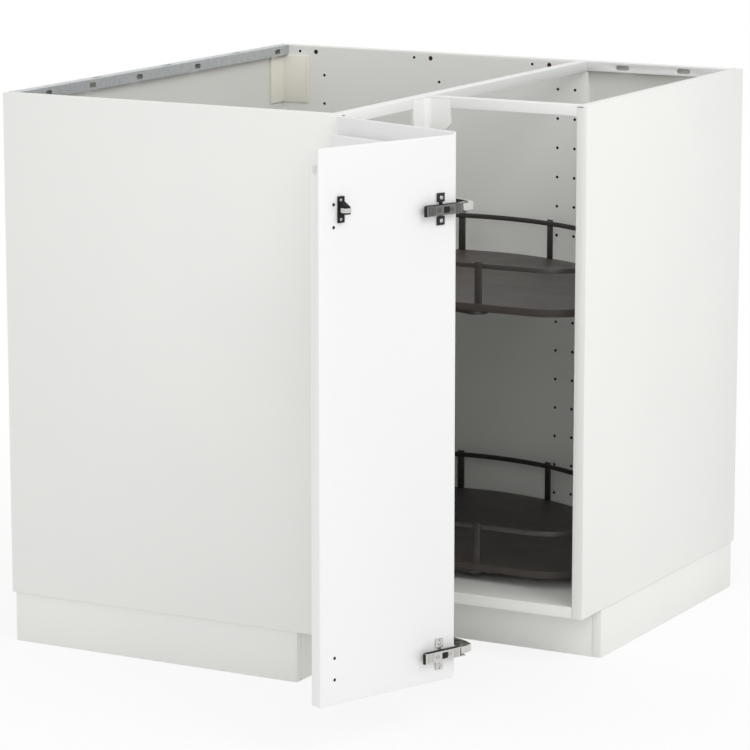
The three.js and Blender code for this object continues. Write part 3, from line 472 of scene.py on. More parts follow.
def galvanised(name):
    """Zinc crystals a few millimetres across, each with its own gloss and tint."""
    made, tree, shader = new_material(name)
    shader.inputs["Metallic"].default_value = 0.85
    place = node(tree, "ShaderNodeTexCoord")
    crystals = node(tree, "ShaderNodeTexVoronoi", Scale=170.0)
    tree.links.new(place.outputs["Object"], crystals.inputs["Vector"])
    tint = node(tree, "ShaderNodeSeparateColor")
    tree.links.new(crystals.outputs["Color"], tint.inputs["Color"])
    colour = shade(tree, tint.outputs[0], (0.53, 0.555, 0.57), (0.58, 0.60, 0.61))
    tree.links.new(colour, shader.inputs["Base Color"])
    tree.links.new(spread(tree, tint.outputs[1], 0.32, 0.5), shader.inputs["Roughness"])
    relief = bumps(tree, object_noise(tree, 400), 0.00003)
    tree.links.new(bumps(tree, tint.outputs[2], 0.00002, relief), shader.inputs["Normal"])
    return made


def round_edges(piece, width, segments, wanted):
    """Rounds the edges that wanted() picks by their two ends."""
    choose(piece)
    bpy.context.tool_settings.mesh_select_mode = (False, True, False)
    points = [vertex.co for vertex in piece.data.vertices]
    for thing in (*piece.data.polygons, *piece.data.vertices):
        thing.select = False
    for edge in piece.data.edges:
        edge.select = bool(wanted(*(points[end] for end in edge.vertices)))
    bpy.ops.object.mode_set(mode="EDIT")
    bpy.ops.mesh.bevel(offset=width, segments=segments)
    bpy.ops.object.mode_set(mode="OBJECT")
    return piece


zinc = galvanised("galvanised_sheet")
channel = solid_copy("rear_suspension_rail", "suspension_channel")
low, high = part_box("rear_suspension_rail")


def hole_corner(a, b):
    """A corner of a face hole or of a top slot: a short edge through the sheet, off the ends."""
    run = b - a
    through = abs(run.length - STEEL) < SAME_PLACE
    inside = low.y + CHANNEL_END < a.y < high.y - CHANNEL_END
    upright_hole = high.z - FACE_HOLES_DROP < a.z < high.z - STEEL - SAME_PLACE
    top_slot = low.x + CHANNEL_LIP < a.x < high.x - CHANNEL_LIP
    along_x, along_z = abs(run.x) > STEEL / 2, abs(run.z) > STEEL / 2
    return through and inside and (along_x and upright_hole or along_z and top_slot)


round_edges(channel, HOLE_ROUND, 4, hole_corner)
painted(edged(channel, CHANNEL_ROUND, segments=1), zinc)
stands_for(smoothed(channel), "root", "galvanised_steel", "rear_suspension_rail")

# ---- Corner brackets ----
# A white plastic angle ties the rails where the two wings meet, and a taller cream one stands in
# the back corner. Both are mouldings: the white one is screwed on from inside, the cream one has
# upright ribs.
BRACKET_WALL = 0.003
BRACKET_FOOT = 0.013
BRACKET_ROUND = 0.0007
NOTCH_ROUND = 0.011
BRACKET_SCREW = 0.0032
BRACKET_SCREW_INSET = 0.018
BRACKET_SCREW_APART = 0.013
CREAM_ROUND = 0.0006
RIB = 0.0012
RIB_SHARES = (0.2, 0.36, 0.52, 0.68, 0.96)
white_plastic = finish(
    "white_moulded_plastic", (0.87, 0.87, 0.845), (0.845, 0.845, 0.825),
    rough=(0.38, 0.46), texture=1800, height=0.00005,
)
cream_plastic = finish(
    "cream_moulded_plastic", (0.885, 0.865, 0.775), (0.87, 0.85, 0.76),
    rough=(0.42, 0.52), texture=1800, height=0.00005,
)
nickel = finish(
    "nickel_plate", (0.66, 0.65, 0.63), (0.56, 0.555, 0.54),
    rough=(0.16, 0.3), texture=1400, height=0.00002, metallic=1.0, drift=30,
)
DIRECTIONS = {"+x": Vector((1, 0, 0)), "-x": Vector((-1, 0, 0)), "+y": Vector((0, 1, 0)),
              "-y": Vector((0, -1, 0)), "+z": Vector((0, 0, 1)), "-z": Vector((0, 0, -1))}
HEAD_HEIGHT = 0.5  # the screw head's lengths are shares of its radius
HEAD_ROUND = 0.22
CROSS_HALF = 0.62
CROSS_ARM_HALF = 0.13
CROSS_FLOOR = 0.14
SCREW_TURN = 0.4
SCREW_TURN_STEP = 1.1


def screw_model():
    """A flat screw head with a cross recess, one unit in radius, standing up along Z."""
    head = round_piece(1, HEAD_HEIGHT, (0, 0, HEAD_HEIGHT / 2), "z", sides=20, name="screw_head")
    round_edges(head, HEAD_ROUND, 3, lambda a, b: min(a.z, b.z) > HEAD_HEIGHT - 0.1)
    arms = [
        box_piece((-x, -y, CROSS_FLOOR), (x, y, HEAD_HEIGHT + 0.1))
        for x, y in ((CROSS_HALF, CROSS_ARM_HALF), (CROSS_ARM_HALF, CROSS_HALF))
    ]
    return smoothed(painted(combined(head, arms, "DIFFERENCE"), nickel))


screw_head = screw_model()


def screws(places, facing, radius, onto=Matrix()):
    """Screw heads on a face that looks along facing, each turned differently; onto takes them
    along with a piece that is modelled away from its place."""
    to_face = DIRECTIONS[facing].to_track_quat("Z", "Y").to_matrix().to_4x4()
    size = Matrix.Diagonal((radius, radius, radius, 1))
    made = []
    for count, place in enumerate(places):
        screw = own_copy(screw_head, "screw")
        turn = Matrix.Rotation(SCREW_TURN + SCREW_TURN_STEP * count, 4, "Z")
        screw.data.transform(onto @ Matrix.Translation(place) @ to_face @ turn @ size)
        made.append(screw)
    return made


def assembled(piece, *details):
    """Joins a piece's details to it as one object, each with its own material."""
    choose(*details, piece)
    bpy.ops.object.join()
    return smoothed(piece)


def free_foot(a, b):
    """The lower edge at a wall's free end of the white bracket."""
    at_foot = max(a.z, b.z) < angle_low.z + SAME_PLACE
    at_long_end = min(a.x, b.x) > angle_high.x - SAME_PLACE
    at_short_end = max(a.y, b.y) < angle_low.y + SAME_PLACE
    return at_foot and (at_long_end or at_short_end)


def in_the_notch(a, b):
    return (a.xy - notch).length < 2 * SAME_PLACE and (b.xy - notch).length < 2 * SAME_PLACE


walls = []
for end in wall_ends:
    start = (angle_low.x, angle_high.y, angle_low.z)
    wall = box_piece(start, (*end, TOP - STEEL - ROOM), "front_corner_angle")
    walls.append(round_edges(wall, BRACKET_FOOT, 8, free_foot))
corner_angle = combined(walls[0], [walls[1]], "UNION")
round_edges(corner_angle, NOTCH_ROUND, 10, in_the_notch)
painted(edged(corner_angle, BRACKET_ROUND, segments=3, angle=50), white_plastic)
middle = (angle_low.z + angle_high.z) / 2
screw_heights = (middle, middle - BRACKET_SCREW_APART)
left_places = [(angle_low.x, angle_low.y + BRACKET_SCREW_INSET, z) for z in screw_heights]
rear_places = [(angle_high.x - BRACKET_SCREW_INSET, angle_high.y, z) for z in screw_heights]
inside = screws(left_places, "-x", BRACKET_SCREW) + screws(rear_places, "+y", BRACKET_SCREW)
stands_for(assembled(corner_angle, *inside), "root", "white_plastic", "front_corner_bracket")

low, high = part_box("rear_corner_bracket")
rear_angle = solid_copy("rear_corner_bracket", "rear_corner_angle")
painted(edged(rear_angle, CREAM_ROUND), cream_plastic)
outlines = []
face = low.x + BRACKET_WALL
for share in RIB_SHARES:
    y = high.y + (low.y - high.y) * share
    outlines.append(((face - RIB, y - RIB), (face + RIB / 3, y + RIB)))
face = high.y - BRACKET_WALL
outlines.append(((high.x - 3 * RIB, face - RIB / 2), (high.x - RIB / 2, face + RIB)))
ribs = []
for start, end in outlines:
    rib = box_piece((*start, low.z + RIB / 2), (*end, high.z - RIB / 2))
    ribs.append(painted(edged(rib, RIB / 6), cream_plastic))
stands_for(assembled(rear_angle, *ribs), "root", "cream_plastic", "rear_corner_bracket")

# ---- Plinth ----
# Four boards, set back under the bottom to leave room for toes, in the same white melamine as the
# boards above.
for side in ("left_side", "left_front", "right_front", "right_side"):
    node_name = "plinth_" + side
    stands_for(smoothed(white_board(node_name)), "root", "white_board", node_name)

# ---- Legs ----
# Six adjustable legs of black plastic: a round foot on a threaded stem, in a socket with a wide
# cap under the bottom.
LEG_FOOT = 0.025
STEM = 0.012
THREADS = 9
THREAD_START = 0.0145
THREAD_STEP = 0.0028
THREAD_DEPTH = 0.0009
SOCKET = 0.016
SOCKET_START = 0.040
SOCKET_BEAD = 0.0008
LEG_CAP = 0.030
LEG_HEIGHT = 0.080
black_plastic = finish(
    "black_moulded_plastic", (0.009, 0.009, 0.0095), (0.013, 0.013, 0.0135),
    rough=(0.5, 0.64), texture=1600, height=0.00007, gloss=0.22,
)


def drawn(points, name):
    """A line through these points, left in edit mode."""
    bpy.ops.object.select_all(action="DESELECT")
    bpy.ops.mesh.primitive_plane_add(size=0.001, location=points[0])
    line = settle(bpy.context.object, name)
    bpy.ops.object.mode_set(mode="EDIT")
    bpy.context.tool_settings.mesh_select_mode = (True, False, False)
    bpy.ops.mesh.select_all(action="SELECT")
    bpy.ops.mesh.merge(type="CENTER")
    for start, end in zip(points, points[1:]):
        step = Vector(end) - Vector(start)
        bpy.ops.mesh.extrude_vertices_move(TRANSFORM_OT_translate={"value": step})
    return line


def closed_up(piece):
    """Merges what meets, turns the faces outward and leaves edit mode."""
    bpy.ops.mesh.select_all(action="SELECT")
    bpy.ops.mesh.remove_doubles(threshold=0.000005)
    bpy.ops.mesh.normals_make_consistent(inside=False)
    bpy.ops.object.mode_set(mode="OBJECT")
    return piece


def turned(profile, centre, name, steps=56):
    """A piece turned about an upright axis: profile is its (radius, height) points."""
    piece = drawn([(centre[0] + r, centre[1], z) for r, z in profile], name)
    bpy.ops.mesh.select_all(action="SELECT")
    bpy.ops.mesh.spin(steps=steps, angle=2 * pi, center=(centre[0], centre[1], 0), axis=(0, 0, 1))
    return closed_up(piece)


leg_profile = [
    (0, 0), (LEG_FOOT - 0.0008, 0), (LEG_FOOT, 0.0008), (LEG_FOOT, 0.0046),
    (LEG_FOOT - 0.0008, 0.0054), (0.019, 0.0076), (0.018, 0.0072), (0.013, 0.0114), (STEM, 0.013),
]
for count in range(THREADS):
    crest = THREAD_START + THREAD_STEP * count
    leg_profile += [(STEM, crest), (STEM - THREAD_DEPTH, crest + THREAD_STEP / 2)]
leg_profile += [
    (STEM, SOCKET_START), (SOCKET - 0.0006, SOCKET_START), (SOCKET, SOCKET_START + 0.0006),
    (SOCKET, 0.046), (SOCKET - SOCKET_BEAD, 0.0466), (SOCKET - SOCKET_BEAD, 0.0478),
    (SOCKET, 0.0484), (SOCKET, 0.070), (LEG_CAP - 0.0008, 0.0758), (LEG_CAP, 0.0766),
    (LEG_CAP, 0.0796), (LEG_CAP - 0.0006, LEG_HEIGHT), (0, LEG_HEIGHT),
]
for place in ("rear_corner", "left_rear", "left_front", "inner_front", "right_front", "right_rear"):
    low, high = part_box("leg_" + place)
    leg = turned(leg_profile, (low + high) / 2, "adjustable_leg_" + place, 40)
    stands_for(smoothed(painted(leg, black_plastic), 40), "root", "black_plastic", "leg_" + place)

# ---- Pole ----
# A steel tube, painted dark brown-grey, stands in a bearing on the bottom. A ring clamped on it
# carries the upper tray, and a bracket on the left side board holds its top.
POLE_END_ROUND = 0.0015
POLE_HOLLOW = 0.003
BEARING_PLAY = 0.0002
BEARING_COLLAR = 0.0225
BEARING_SCREW = 0.003
BEARING_SCREW_CIRCLE = 0.0292
BEARING_SCREW_RISE = 0.0039
BEARING_SCREW_TURNS = (30, 150, 270)
CLAMP_ROUND = 0.001
CLAMP_SPLIT_HALF = 0.0009
CLAMP_SCREW = 0.0034
CLAMP_SCREW_SUNK = 0.0007
TOP_PLATE = 0.004
TOP_BRACKET_ROUND = 0.0008
TOP_SCREW = 0.0036
TOP_SCREW_ASIDE = 0.03
TOP_SCREW_INSET = 0.01
dark_steel = finish(
    "dark_painted_steel", (0.042, 0.037, 0.033), (0.047, 0.0415, 0.037),
    rough=(0.34, 0.44), texture=900, height=0.00005, metallic=0.1, gloss=0.65,
)
low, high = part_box("carousel_pole")
POLE = (low + high) / 2
POLE_RADIUS = (high.x - low.x) / 2
tube_wall = POLE_RADIUS - POLE_END_ROUND
pole_profile = [
    (0, low.z), (POLE_RADIUS, low.z), (POLE_RADIUS, high.z - POLE_END_ROUND),
    (POLE_RADIUS - POLE_END_ROUND / 2, high.z - POLE_END_ROUND / 4), (tube_wall, high.z),
    (tube_wall - 0.0006, high.z - 0.0006), (tube_wall - 0.001, high.z - POLE_HOLLOW),
    (0, high.z - POLE_HOLLOW),
]
pole = painted(turned(pole_profile, POLE, "pole_tube"), dark_steel)
stands_for(smoothed(pole), "root", "dark_steel", "carousel_pole")

low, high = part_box("pole_floor_bearing")
bore = POLE_RADIUS + BEARING_PLAY
wide = (high.x - low.x) / 2
bearing_profile = [
    (bore, low.z), (wide - 0.0005, low.z), (wide, low.z + 0.0006), (wide, low.z + 0.0034),
    (wide - 0.001, low.z + 0.0042), (BEARING_COLLAR + 0.0025, low.z + 0.005),
    (BEARING_COLLAR + 0.001, low.z + 0.0062), (BEARING_COLLAR, high.z - 0.0012),
    (BEARING_COLLAR - 0.0012, high.z), (bore + 0.0012, high.z), (bore, high.z - 0.001), (bore, low.z),
]
bearing = painted(turned(bearing_profile, POLE, "floor_bearing"), black_plastic)
places = []
for angle in BEARING_SCREW_TURNS:
    out = BEARING_SCREW_CIRCLE * Vector((cos(radians(angle)), sin(radians(angle))))
    places.append((*(POLE.xy + out), low.z + BEARING_SCREW_RISE))
fixings = screws(places, "+z", BEARING_SCREW)
stands_for(assembled(bearing, *fixings), "root", "black_plastic", "pole_floor_bearing")

low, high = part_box("upper_clamp_ring")
wide = (high.x - low.x) / 2
clamp_profile = [
    (bore, low.z), (wide - CLAMP_ROUND, low.z), (wide, low.z + CLAMP_ROUND),
    (wide, high.z - CLAMP_ROUND), (wide - CLAMP_ROUND, high.z), (bore, high.z), (bore, low.z),
]
clamp = painted(turned(clamp_profile, POLE, "clamp_ring"), dark_steel)
start = (POLE.x - CLAMP_SPLIT_HALF, low.y - PAST, low.z - PAST)
end = (POLE.x + CLAMP_SPLIT_HALF, POLE.y - POLE_RADIUS + PAST, high.z + PAST)
carved(clamp, start, end, dark_steel)
grub_place = (POLE.x + wide - CLAMP_SCREW_SUNK, POLE.y, (low.z + high.z) / 2)
grub = screws([grub_place], "+x", CLAMP_SCREW)
stands_for(assembled(clamp, *grub), "root", "dark_steel", "upper_clamp_ring")

low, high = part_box("pole_top_bracket")
top_bracket = refined(
    "pole_top_bracket", "pole_bracket", dark_steel, TOP_BRACKET_ROUND, angle=40
)
corners = [
    (POLE.x + aside, low.y + TOP_PLATE, height)
    for aside in (-TOP_SCREW_ASIDE, TOP_SCREW_ASIDE)
    for height in (low.z + TOP_SCREW_INSET, high.z - TOP_SCREW_INSET)
]
top_fixings = screws(corners, "+y", TOP_SCREW)
stands_for(assembled(top_bracket, *top_fixings), "root", "dark_steel", "pole_top_bracket")

# ---- Trays ----
# Two notched discs of particleboard, faced and edged in a dark grey-brown foil. Each turns on the
# pole with its gallery: a flat steel band carried by upright strips screwed to the tray's rim.
TRAY_EDGE = 0.0895
TRAY_FILLET = 0.080
TRAY_ROUND = 0.0012
TRAY_HOLE = 0.0263
RIM_STEP = 0.012
BAND_INSET = 0.0035
BAND_THICKNESS = 0.003
BAND_HEIGHT = 0.008
GALLERY_HEIGHT = 0.064
STEEL_ROUND = 0.0007
UPRIGHT_WIDTH = 0.012
UPRIGHT_THICKNESS = 0.0026
UPRIGHT_HEIGHT = 0.0665
UPRIGHT_ROUND = 0.0006
UPRIGHT_SUNK = 0.0003
UPRIGHT_START = 0.130
UPRIGHT_STEP = 0.1768
RIVET = 0.0024
RIVET_LENGTH = 0.0012
RIVET_PROUD = 0.0008
RIVET_ROUND = 0.0004
RIVET_HEIGHT = 0.060
HUB = 0.026
HUB_COLLAR = 0.0222
HUB_PLAY = 0.0004
HUB_ARM_ENDS = ((0.205, -0.069), (0.069, -0.205), (-0.170, 0.170))
HUB_ARM_START = 0.018
HUB_ARM_HALF = 0.018
HUB_ARM_THICKNESS = 0.006
HUB_BOLT = 0.0036
HUB_BOLT_INSET = 0.004
tray_foil = finish(
    "dark_tray_foil", (0.060, 0.051, 0.046), (0.057, 0.048, 0.043),
    rough=(0.44, 0.5), texture=1300, height=0.00004, gloss=0.35,
)
TRAY_RADIUS = POLE.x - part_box("upper_tray")[0].x
around_pole = Matrix.Translation((POLE.x, POLE.y, 0))


def rim_shape(inset):
    """A tray's outline, drawn inset from its rim: how far its straight edges are from the pole,
    where they end, and three arcs, each with its centre, radius, first angle and sweep."""
    radius = TRAY_RADIUS - inset
    edge = TRAY_EDGE - inset
    fillet = TRAY_FILLET - inset
    near = edge - fillet
    far = sqrt((radius - fillet) ** 2 - near ** 2)
    side = atan2(near, far)
    quarter = pi / 2 - side
    arcs = (((far, -near), fillet, -pi / 2, quarter),
            ((0, 0), radius, -side, 1.5 * pi + 2 * side),
            ((near, -far), fillet, 1.5 * pi + side, quarter))
    return edge, far, arcs


def rim_line(height, inset, name):
    """The closed outline at a height, left in edit mode."""
    edge, far, arcs = rim_shape(inset)
    y = POLE.y - edge
    line = drawn([(POLE.x + edge, y, height), (POLE.x + far, y, height)], name)
    for (across, along), radius, _, sweep in arcs:
        middle = (POLE.x + across, POLE.y + along, height)
        steps = max(16, int(radius * sweep / RIM_STEP))
        bpy.ops.mesh.spin(steps=steps, angle=-sweep, center=middle, axis=(0, 0, 1))
    bpy.ops.mesh.extrude_vertices_move(TRANSFORM_OT_translate={"value": (0, far - edge, 0)})
    bpy.ops.mesh.select_all(action="SELECT")
    bpy.ops.mesh.remove_doubles(threshold=0.000005)
    return line


def rim_length(inset):
    edge, far, arcs = rim_shape(inset)
    return 2 * (far - edge) + sum(radius * sweep for _, radius, _, sweep in arcs)


def station(walked, inset):
    """The place and heading at a distance along the outline from the notch corner."""
    edge, far, arcs = rim_shape(inset)
    if walked < far - edge:
        return Vector((edge + walked, -edge, 0)), 0
    walked -= far - edge
    for (x, y), radius, start, sweep in arcs:
        if walked < radius * sweep:
            angle = start + walked / radius
            return Vector((x + radius * cos(angle), y + radius * sin(angle), 0)), angle + pi / 2
        walked -= radius * sweep
    return Vector((edge, walked - far, 0)), pi / 2


def extruded(x, y, z):
    bpy.ops.mesh.extrude_region_move(TRANSFORM_OT_translate={"value": (x, y, z)})


def moved(piece, matrix):
    piece.data.transform(matrix)
    return piece


def upright_strip():
    """One upright of the gallery with its rivet, at the origin, its outer face towards -Y."""
    half = UPRIGHT_WIDTH / 2
    outer = UPRIGHT_SUNK - UPRIGHT_THICKNESS
    strip = box_piece((-half, outer, 0), (half, UPRIGHT_SUNK, UPRIGHT_HEIGHT), "upright")
    rivet_place = (0, outer - RIVET_PROUD + RIVET_LENGTH / 2, RIVET_HEIGHT)
    rivet = edged(round_piece(RIVET, RIVET_LENGTH, rivet_place, "y", sides=20), RIVET_ROUND)
    painted(edged(strip, UPRIGHT_ROUND), dark_steel)
    return assembled(strip, painted(rivet, dark_steel))


def tray_disc(low, high, name):
    """A tray's board, with a hole for the hub."""
    thickness = high.z - low.z
    disc = rim_line(low.z, 0, name)
    bpy.ops.mesh.edge_face_add()
    extruded(0, 0, thickness)
    edged(closed_up(disc), TRAY_ROUND, segments=3, angle=60)
    hole = round_piece(TRAY_HOLE, 2 * (thickness + PAST), (POLE.x, POLE.y, low.z), "z", sides=56)
    return combined(painted(disc, tray_foil), [painted(hole, chipboard)], "DIFFERENCE")


def gallery(tray_top, name):
    """The band, and an upright at every step along it."""
    band = rim_line(tray_top + GALLERY_HEIGHT - BAND_HEIGHT, BAND_INSET, name)
    extruded(0, 0, BAND_HEIGHT)
    closed_up(band)
    wall = band.modifiers.new("wall", "SOLIDIFY")
    wall.thickness = BAND_THICKNESS
    wall.offset = -1
    choose(band)
    bpy.ops.object.modifier_apply(modifier=wall.name)
    painted(edged(band, STEEL_ROUND, angle=40), dark_steel)
    strip = upright_strip()
    uprights = []
    walked = UPRIGHT_START
    while walked < rim_length(BAND_INSET):
        place, heading = station(walked, BAND_INSET)
        foot = Matrix.Translation(Vector((POLE.x, POLE.y, tray_top)) + place)
        turn = Matrix.Rotation(heading, 4, "Z")
        uprights.append(moved(own_copy(strip, "upright"), foot @ turn))
        walked += UPRIGHT_STEP
    bpy.data.objects.remove(strip)
    return assembled(band, *uprights)


def hub_with_arms(low, high, tray_top, name):
    """A turned hub through the tray and three flat arms under it, each with two bolt heads."""
    hub_bore = POLE_RADIUS + HUB_PLAY
    profile = [
        (hub_bore, low.z), (HUB - 0.0012, low.z), (HUB, low.z + 0.0012),
        (HUB, tray_top + 0.004), (HUB - 0.0008, tray_top + 0.0048),
        (HUB_COLLAR + 0.0006, tray_top + 0.0055), (HUB_COLLAR, high.z - 0.0015),
        (HUB_COLLAR - 0.0014, high.z), (hub_bore + 0.001, high.z), (hub_bore, high.z - 0.001),
        (hub_bore, low.z),
    ]
    hub = painted(turned(profile, POLE, name), dark_steel)
    arms = []
    bolts = []
    arm_top = low.z + HUB_ARM_THICKNESS
    for x, y in HUB_ARM_ENDS:
        reach = hypot(x, y)
        turn = around_pole @ Matrix.Rotation(atan2(y, x), 4, "Z")
        arm = box_piece((HUB_ARM_START, -HUB_ARM_HALF, low.z), (reach, HUB_ARM_HALF, arm_top))
        end_place = (reach, 0, low.z + HUB_ARM_THICKNESS / 2)
        end = round_piece(HUB_ARM_HALF, HUB_ARM_THICKNESS, end_place, "z", sides=40)
        edged(combined(arm, [end], "UNION"), STEEL_ROUND, angle=40)
        arms.append(moved(painted(arm, dark_steel), turn))
        for place in (reach / 2, reach - HUB_BOLT_INSET):
            bolts += screws([(place, 0, low.z)], "-z", HUB_BOLT, turn)
    return assembled(combined(hub, arms, "UNION"), *bolts)


for level in ("upper", "lower"):
    body = level + "_carousel"
    low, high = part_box(level + "_tray")
    tray_top = high.z
    disc = tray_disc(low, high, level + "_tray_board")
    stands_for(smoothed(disc), body, "tray_board", level + "_tray")
    rail = gallery(tray_top, level + "_gallery_rail")
    stands_for(rail, body, "dark_steel", level + "_gallery")
    low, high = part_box(level + "_hub")
    hub = hub_with_arms(low, high, tray_top, level + "_tray_hub")
    stands_for(hub, body, "dark_steel", level + "_hub")

# ---- Door leaves ----
# Two leaves of white-lacquered board. A finger pull is routed along each top edge: a recess from
# the outer face, with a lip and a groove behind it. Hinge cups are let into the left leaf.
DOOR_OPEN = 108.7
FOLD_AT_REST = 2.8
DOOR_GAP = 0.002
DOOR_THICKNESS = 0.019
DOOR_ROUND = 0.0007
FOLD_GAP = 0.0015
PULL_DEPTH = 0.025
PULL_WEB = 0.004
PULL_LIP = 0.0035
PULL_EDGE = 0.0015
PULL_GROOVE = 0.012
GROOVE_CORNER = 0.004
CUP_POCKET = 0.0175
CUP_POCKET_DEPTH = 0.0128
CUP_CUTTER = 0.02
CUP_FROM_SWING = 0.024
CUP_FROM_FOLD = 0.025
HOLE_FROM_EDGE = 0.0268
HOLES_FROM_TOP = (0.080, 0.112)
HOLES_FROM_BOTTOM = (0.0366, 0.0684)
door_lacquer = finish(
    "white_door_lacquer", (0.86, 0.86, 0.856), (0.845, 0.845, 0.84),
    rough=(0.3, 0.38), texture=1100, height=0.00003,
)
leaf_low, leaf_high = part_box("door_leaf_left")
DOOR_BOTTOM, DOOR_TOP = leaf_low.z, leaf_high.z
LEAF_INNER = FOLD_GAP + DOOR_THICKNESS
FOLD_AXIS_X = DOOR_GAP + DOOR_THICKNESS + FOLD_GAP
FOLD_AXIS_Y = right_high.x - left_high.x - FOLD_AXIS_X
leaf_length = FOLD_AXIS_Y - 2 * FOLD_GAP
swing_foot = Matrix.Translation((left_high.x, left_low.y, 0))
swing = swing_foot @ Matrix.Rotation(radians(-DOOR_OPEN), 4, "Z")
fold = swing @ Matrix.Translation((FOLD_AXIS_X, FOLD_AXIS_Y, 0))
fold = fold @ Matrix.Rotation(radians(-FOLD_AT_REST), 4, "Z")


def slab(outline, along, name):
    """A flat outline, filled and drawn out along a direction."""
    piece = drawn(outline, name)
    bpy.ops.mesh.select_all(action="SELECT")
    bpy.ops.mesh.edge_face_add()
    extruded(*along)
    return closed_up(piece)


def leaf(name, start, across, along):
    """start is on the inner face's lower edge, across points to the outer face."""
    recess = DOOR_TOP - PULL_DEPTH
    groove = recess - PULL_GROOVE
    outer = DOOR_THICKNESS
    lip = DOOR_THICKNESS - PULL_LIP
    section = [
        (0, DOOR_BOTTOM), (outer, DOOR_BOTTOM), (outer, recess - PULL_EDGE),
        (outer - PULL_EDGE, recess), (lip, recess), (lip - 0.001, groove + GROOVE_CORNER),
        (lip - GROOVE_CORNER, groove), (PULL_WEB + GROOVE_CORNER - 0.001, groove),
        (PULL_WEB + 0.0005, groove + GROOVE_CORNER), (PULL_WEB, recess),
        (PULL_WEB, DOOR_TOP - 0.001), (PULL_WEB - 0.001, DOOR_TOP), (0, DOOR_TOP),
    ]
    outline = [start + across * depth + Vector((0, 0, z)) for depth, z in section]
    piece = slab(outline, along, name)
    return painted(edged(piece, DOOR_ROUND, segments=3, angle=25), door_lacquer)


left_leaf = leaf(
    "left_leaf", Vector((DOOR_GAP, FOLD_GAP, 0)), DIRECTIONS["+x"], (0, leaf_length, 0)
)
cups_along = (CUP_FROM_SWING, FOLD_AXIS_Y - CUP_FROM_FOLD)
hinge_heights = {}
pockets = []
for position in ("top", "bottom"):
    low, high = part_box("fold_hinge_cup_" + position)
    hinge_heights[position] = (low.z + high.z) / 2
    for y in cups_along:
        centre = (DOOR_GAP + CUP_POCKET_DEPTH - CUP_CUTTER / 2, y, hinge_heights[position])
        pocket = round_piece(CUP_POCKET, CUP_CUTTER, centre, "x", sides=48)
        pockets.append(painted(pocket, chipboard))
combined(left_leaf, pockets, "DIFFERENCE")
stands_for(smoothed(moved(left_leaf, swing)), "door_left", "white_door", "door_leaf_left")

right_leaf = leaf(
    "right_leaf", Vector((FOLD_GAP, LEAF_INNER, 0)), DIRECTIONS["-y"], (leaf_length, 0, 0)
)
hole_x = FOLD_GAP + leaf_length - HOLE_FROM_EDGE
hole_heights = [DOOR_TOP - drop for drop in HOLES_FROM_TOP]
hole_heights += [DOOR_BOTTOM + rise for rise in HOLES_FROM_BOTTOM]
holes = []
for z in hole_heights:
    hole = round_piece(PIN_HOLE, 2 * PIN_HOLE_DEPTH, (hole_x, LEAF_INNER, z), "y", sides=20)
    holes.append(painted(hole, chipboard))
combined(right_leaf, holes, "DIFFERENCE")
stands_for(smoothed(moved(right_leaf, fold)), "door_right", "white_door", "door_leaf_right")

# ---- Hinges ----
# Four concealed hinges of pressed steel, nickel-plated: a cross-shaped plate screwed to a board, an
# arm clipped over it, a bent link, and a cup let into the left leaf.
PLATE_ROUND = 0.0004
PLATE_MIDDLE = 0.028
PLATE_TOP = 0.0023
PLATE_CUT = 0.004
PLATE_HOLE = 0.0012
PLATE_HOLE_RISE = 0.0210
PLATE_SCREW = 0.0031
PLATE_SCREW_RISE = 0.0163
PLATE_SCREW_SUNK = 0.0004
NECK_HALF = 0.0024
NECK_WING_HALF = 0.0085
NECK_START = 0.0064
NECK_END = 0.0106
ARM_ROUND = 0.0007
ARM_RAISE = 0.012
ARM_HALF_HEIGHT = 0.0073
ARM_RIBS = [0.0475 + 0.0026 * count for count in range(5)]
ARM_RIBS += [0.0008 + 0.0024 * count for count in range(4)]
ARM_RIB_HALF = 0.0005
ARM_RIB_DEPTH = 0.0005
ARM_RIB_MARGIN = 0.0013
ARM_SCREW = 0.0027
ARM_SCREW_SUNK = 0.0007
ARM_SCREW_PLACES = (0.040, 0.0167)
ARM_RECESS = 0.0036
ARM_RECESS_DEPTH = 0.0008
WINDOW = (-0.016, -0.003)  # this span and the next four run along the arm, from the board's edge
TAPER = (0.0515, 0.066)
END_CAP = (0.0626, 0.0643)
INSERT = (0.0205, 0.0308)
# the black strip along the arm's upper cheek is painted shade, not a part
UPPER_CHEEK_SHADE = (0.0005, 0.0600)
WINDOW_DEPTH = 0.003
WINDOW_MARGIN = 0.0012
TAPER_RAISE = 0.0072
END_CAP_RAISE = 0.0074
END_CAP_PROUD = 0.0003
INSERT_SUNK = 0.0006
INSERT_PROUD = 0.0005
INSERT_HALF_HEIGHT = 0.0046
UPPER_CHEEK_SHADE_RAISE = 0.0040
CHEEK_PROUD = 0.0004
BLACK_ROUND = 0.0003
LINK_ROUND = 0.0005
CUP_ROUND = 0.0003
CUP_FLANGE = 0.0014
CUP_SCREW = 0.003
CUP_SCREW_RISE = 0.0211
# Darker copies of the same nickel plate for the upper hinges: painted shade and reflection, where the
# plated steel shows dark.
nickel_painted_dark_reflection = finish(
    "nickel_plate_painted_dark_reflection", (0.20, 0.20, 0.192), (0.15, 0.15, 0.145),
    rough=(0.22, 0.38), texture=1400, height=0.00003, metallic=0.9, drift=60,
)
nickel_painted_darker_reflection = finish(
    "nickel_plate_painted_darker_reflection", (0.05, 0.05, 0.05), (0.03, 0.03, 0.03),
    rough=(0.22, 0.38), texture=1400, height=0.00003, metallic=0.9, drift=60,
)


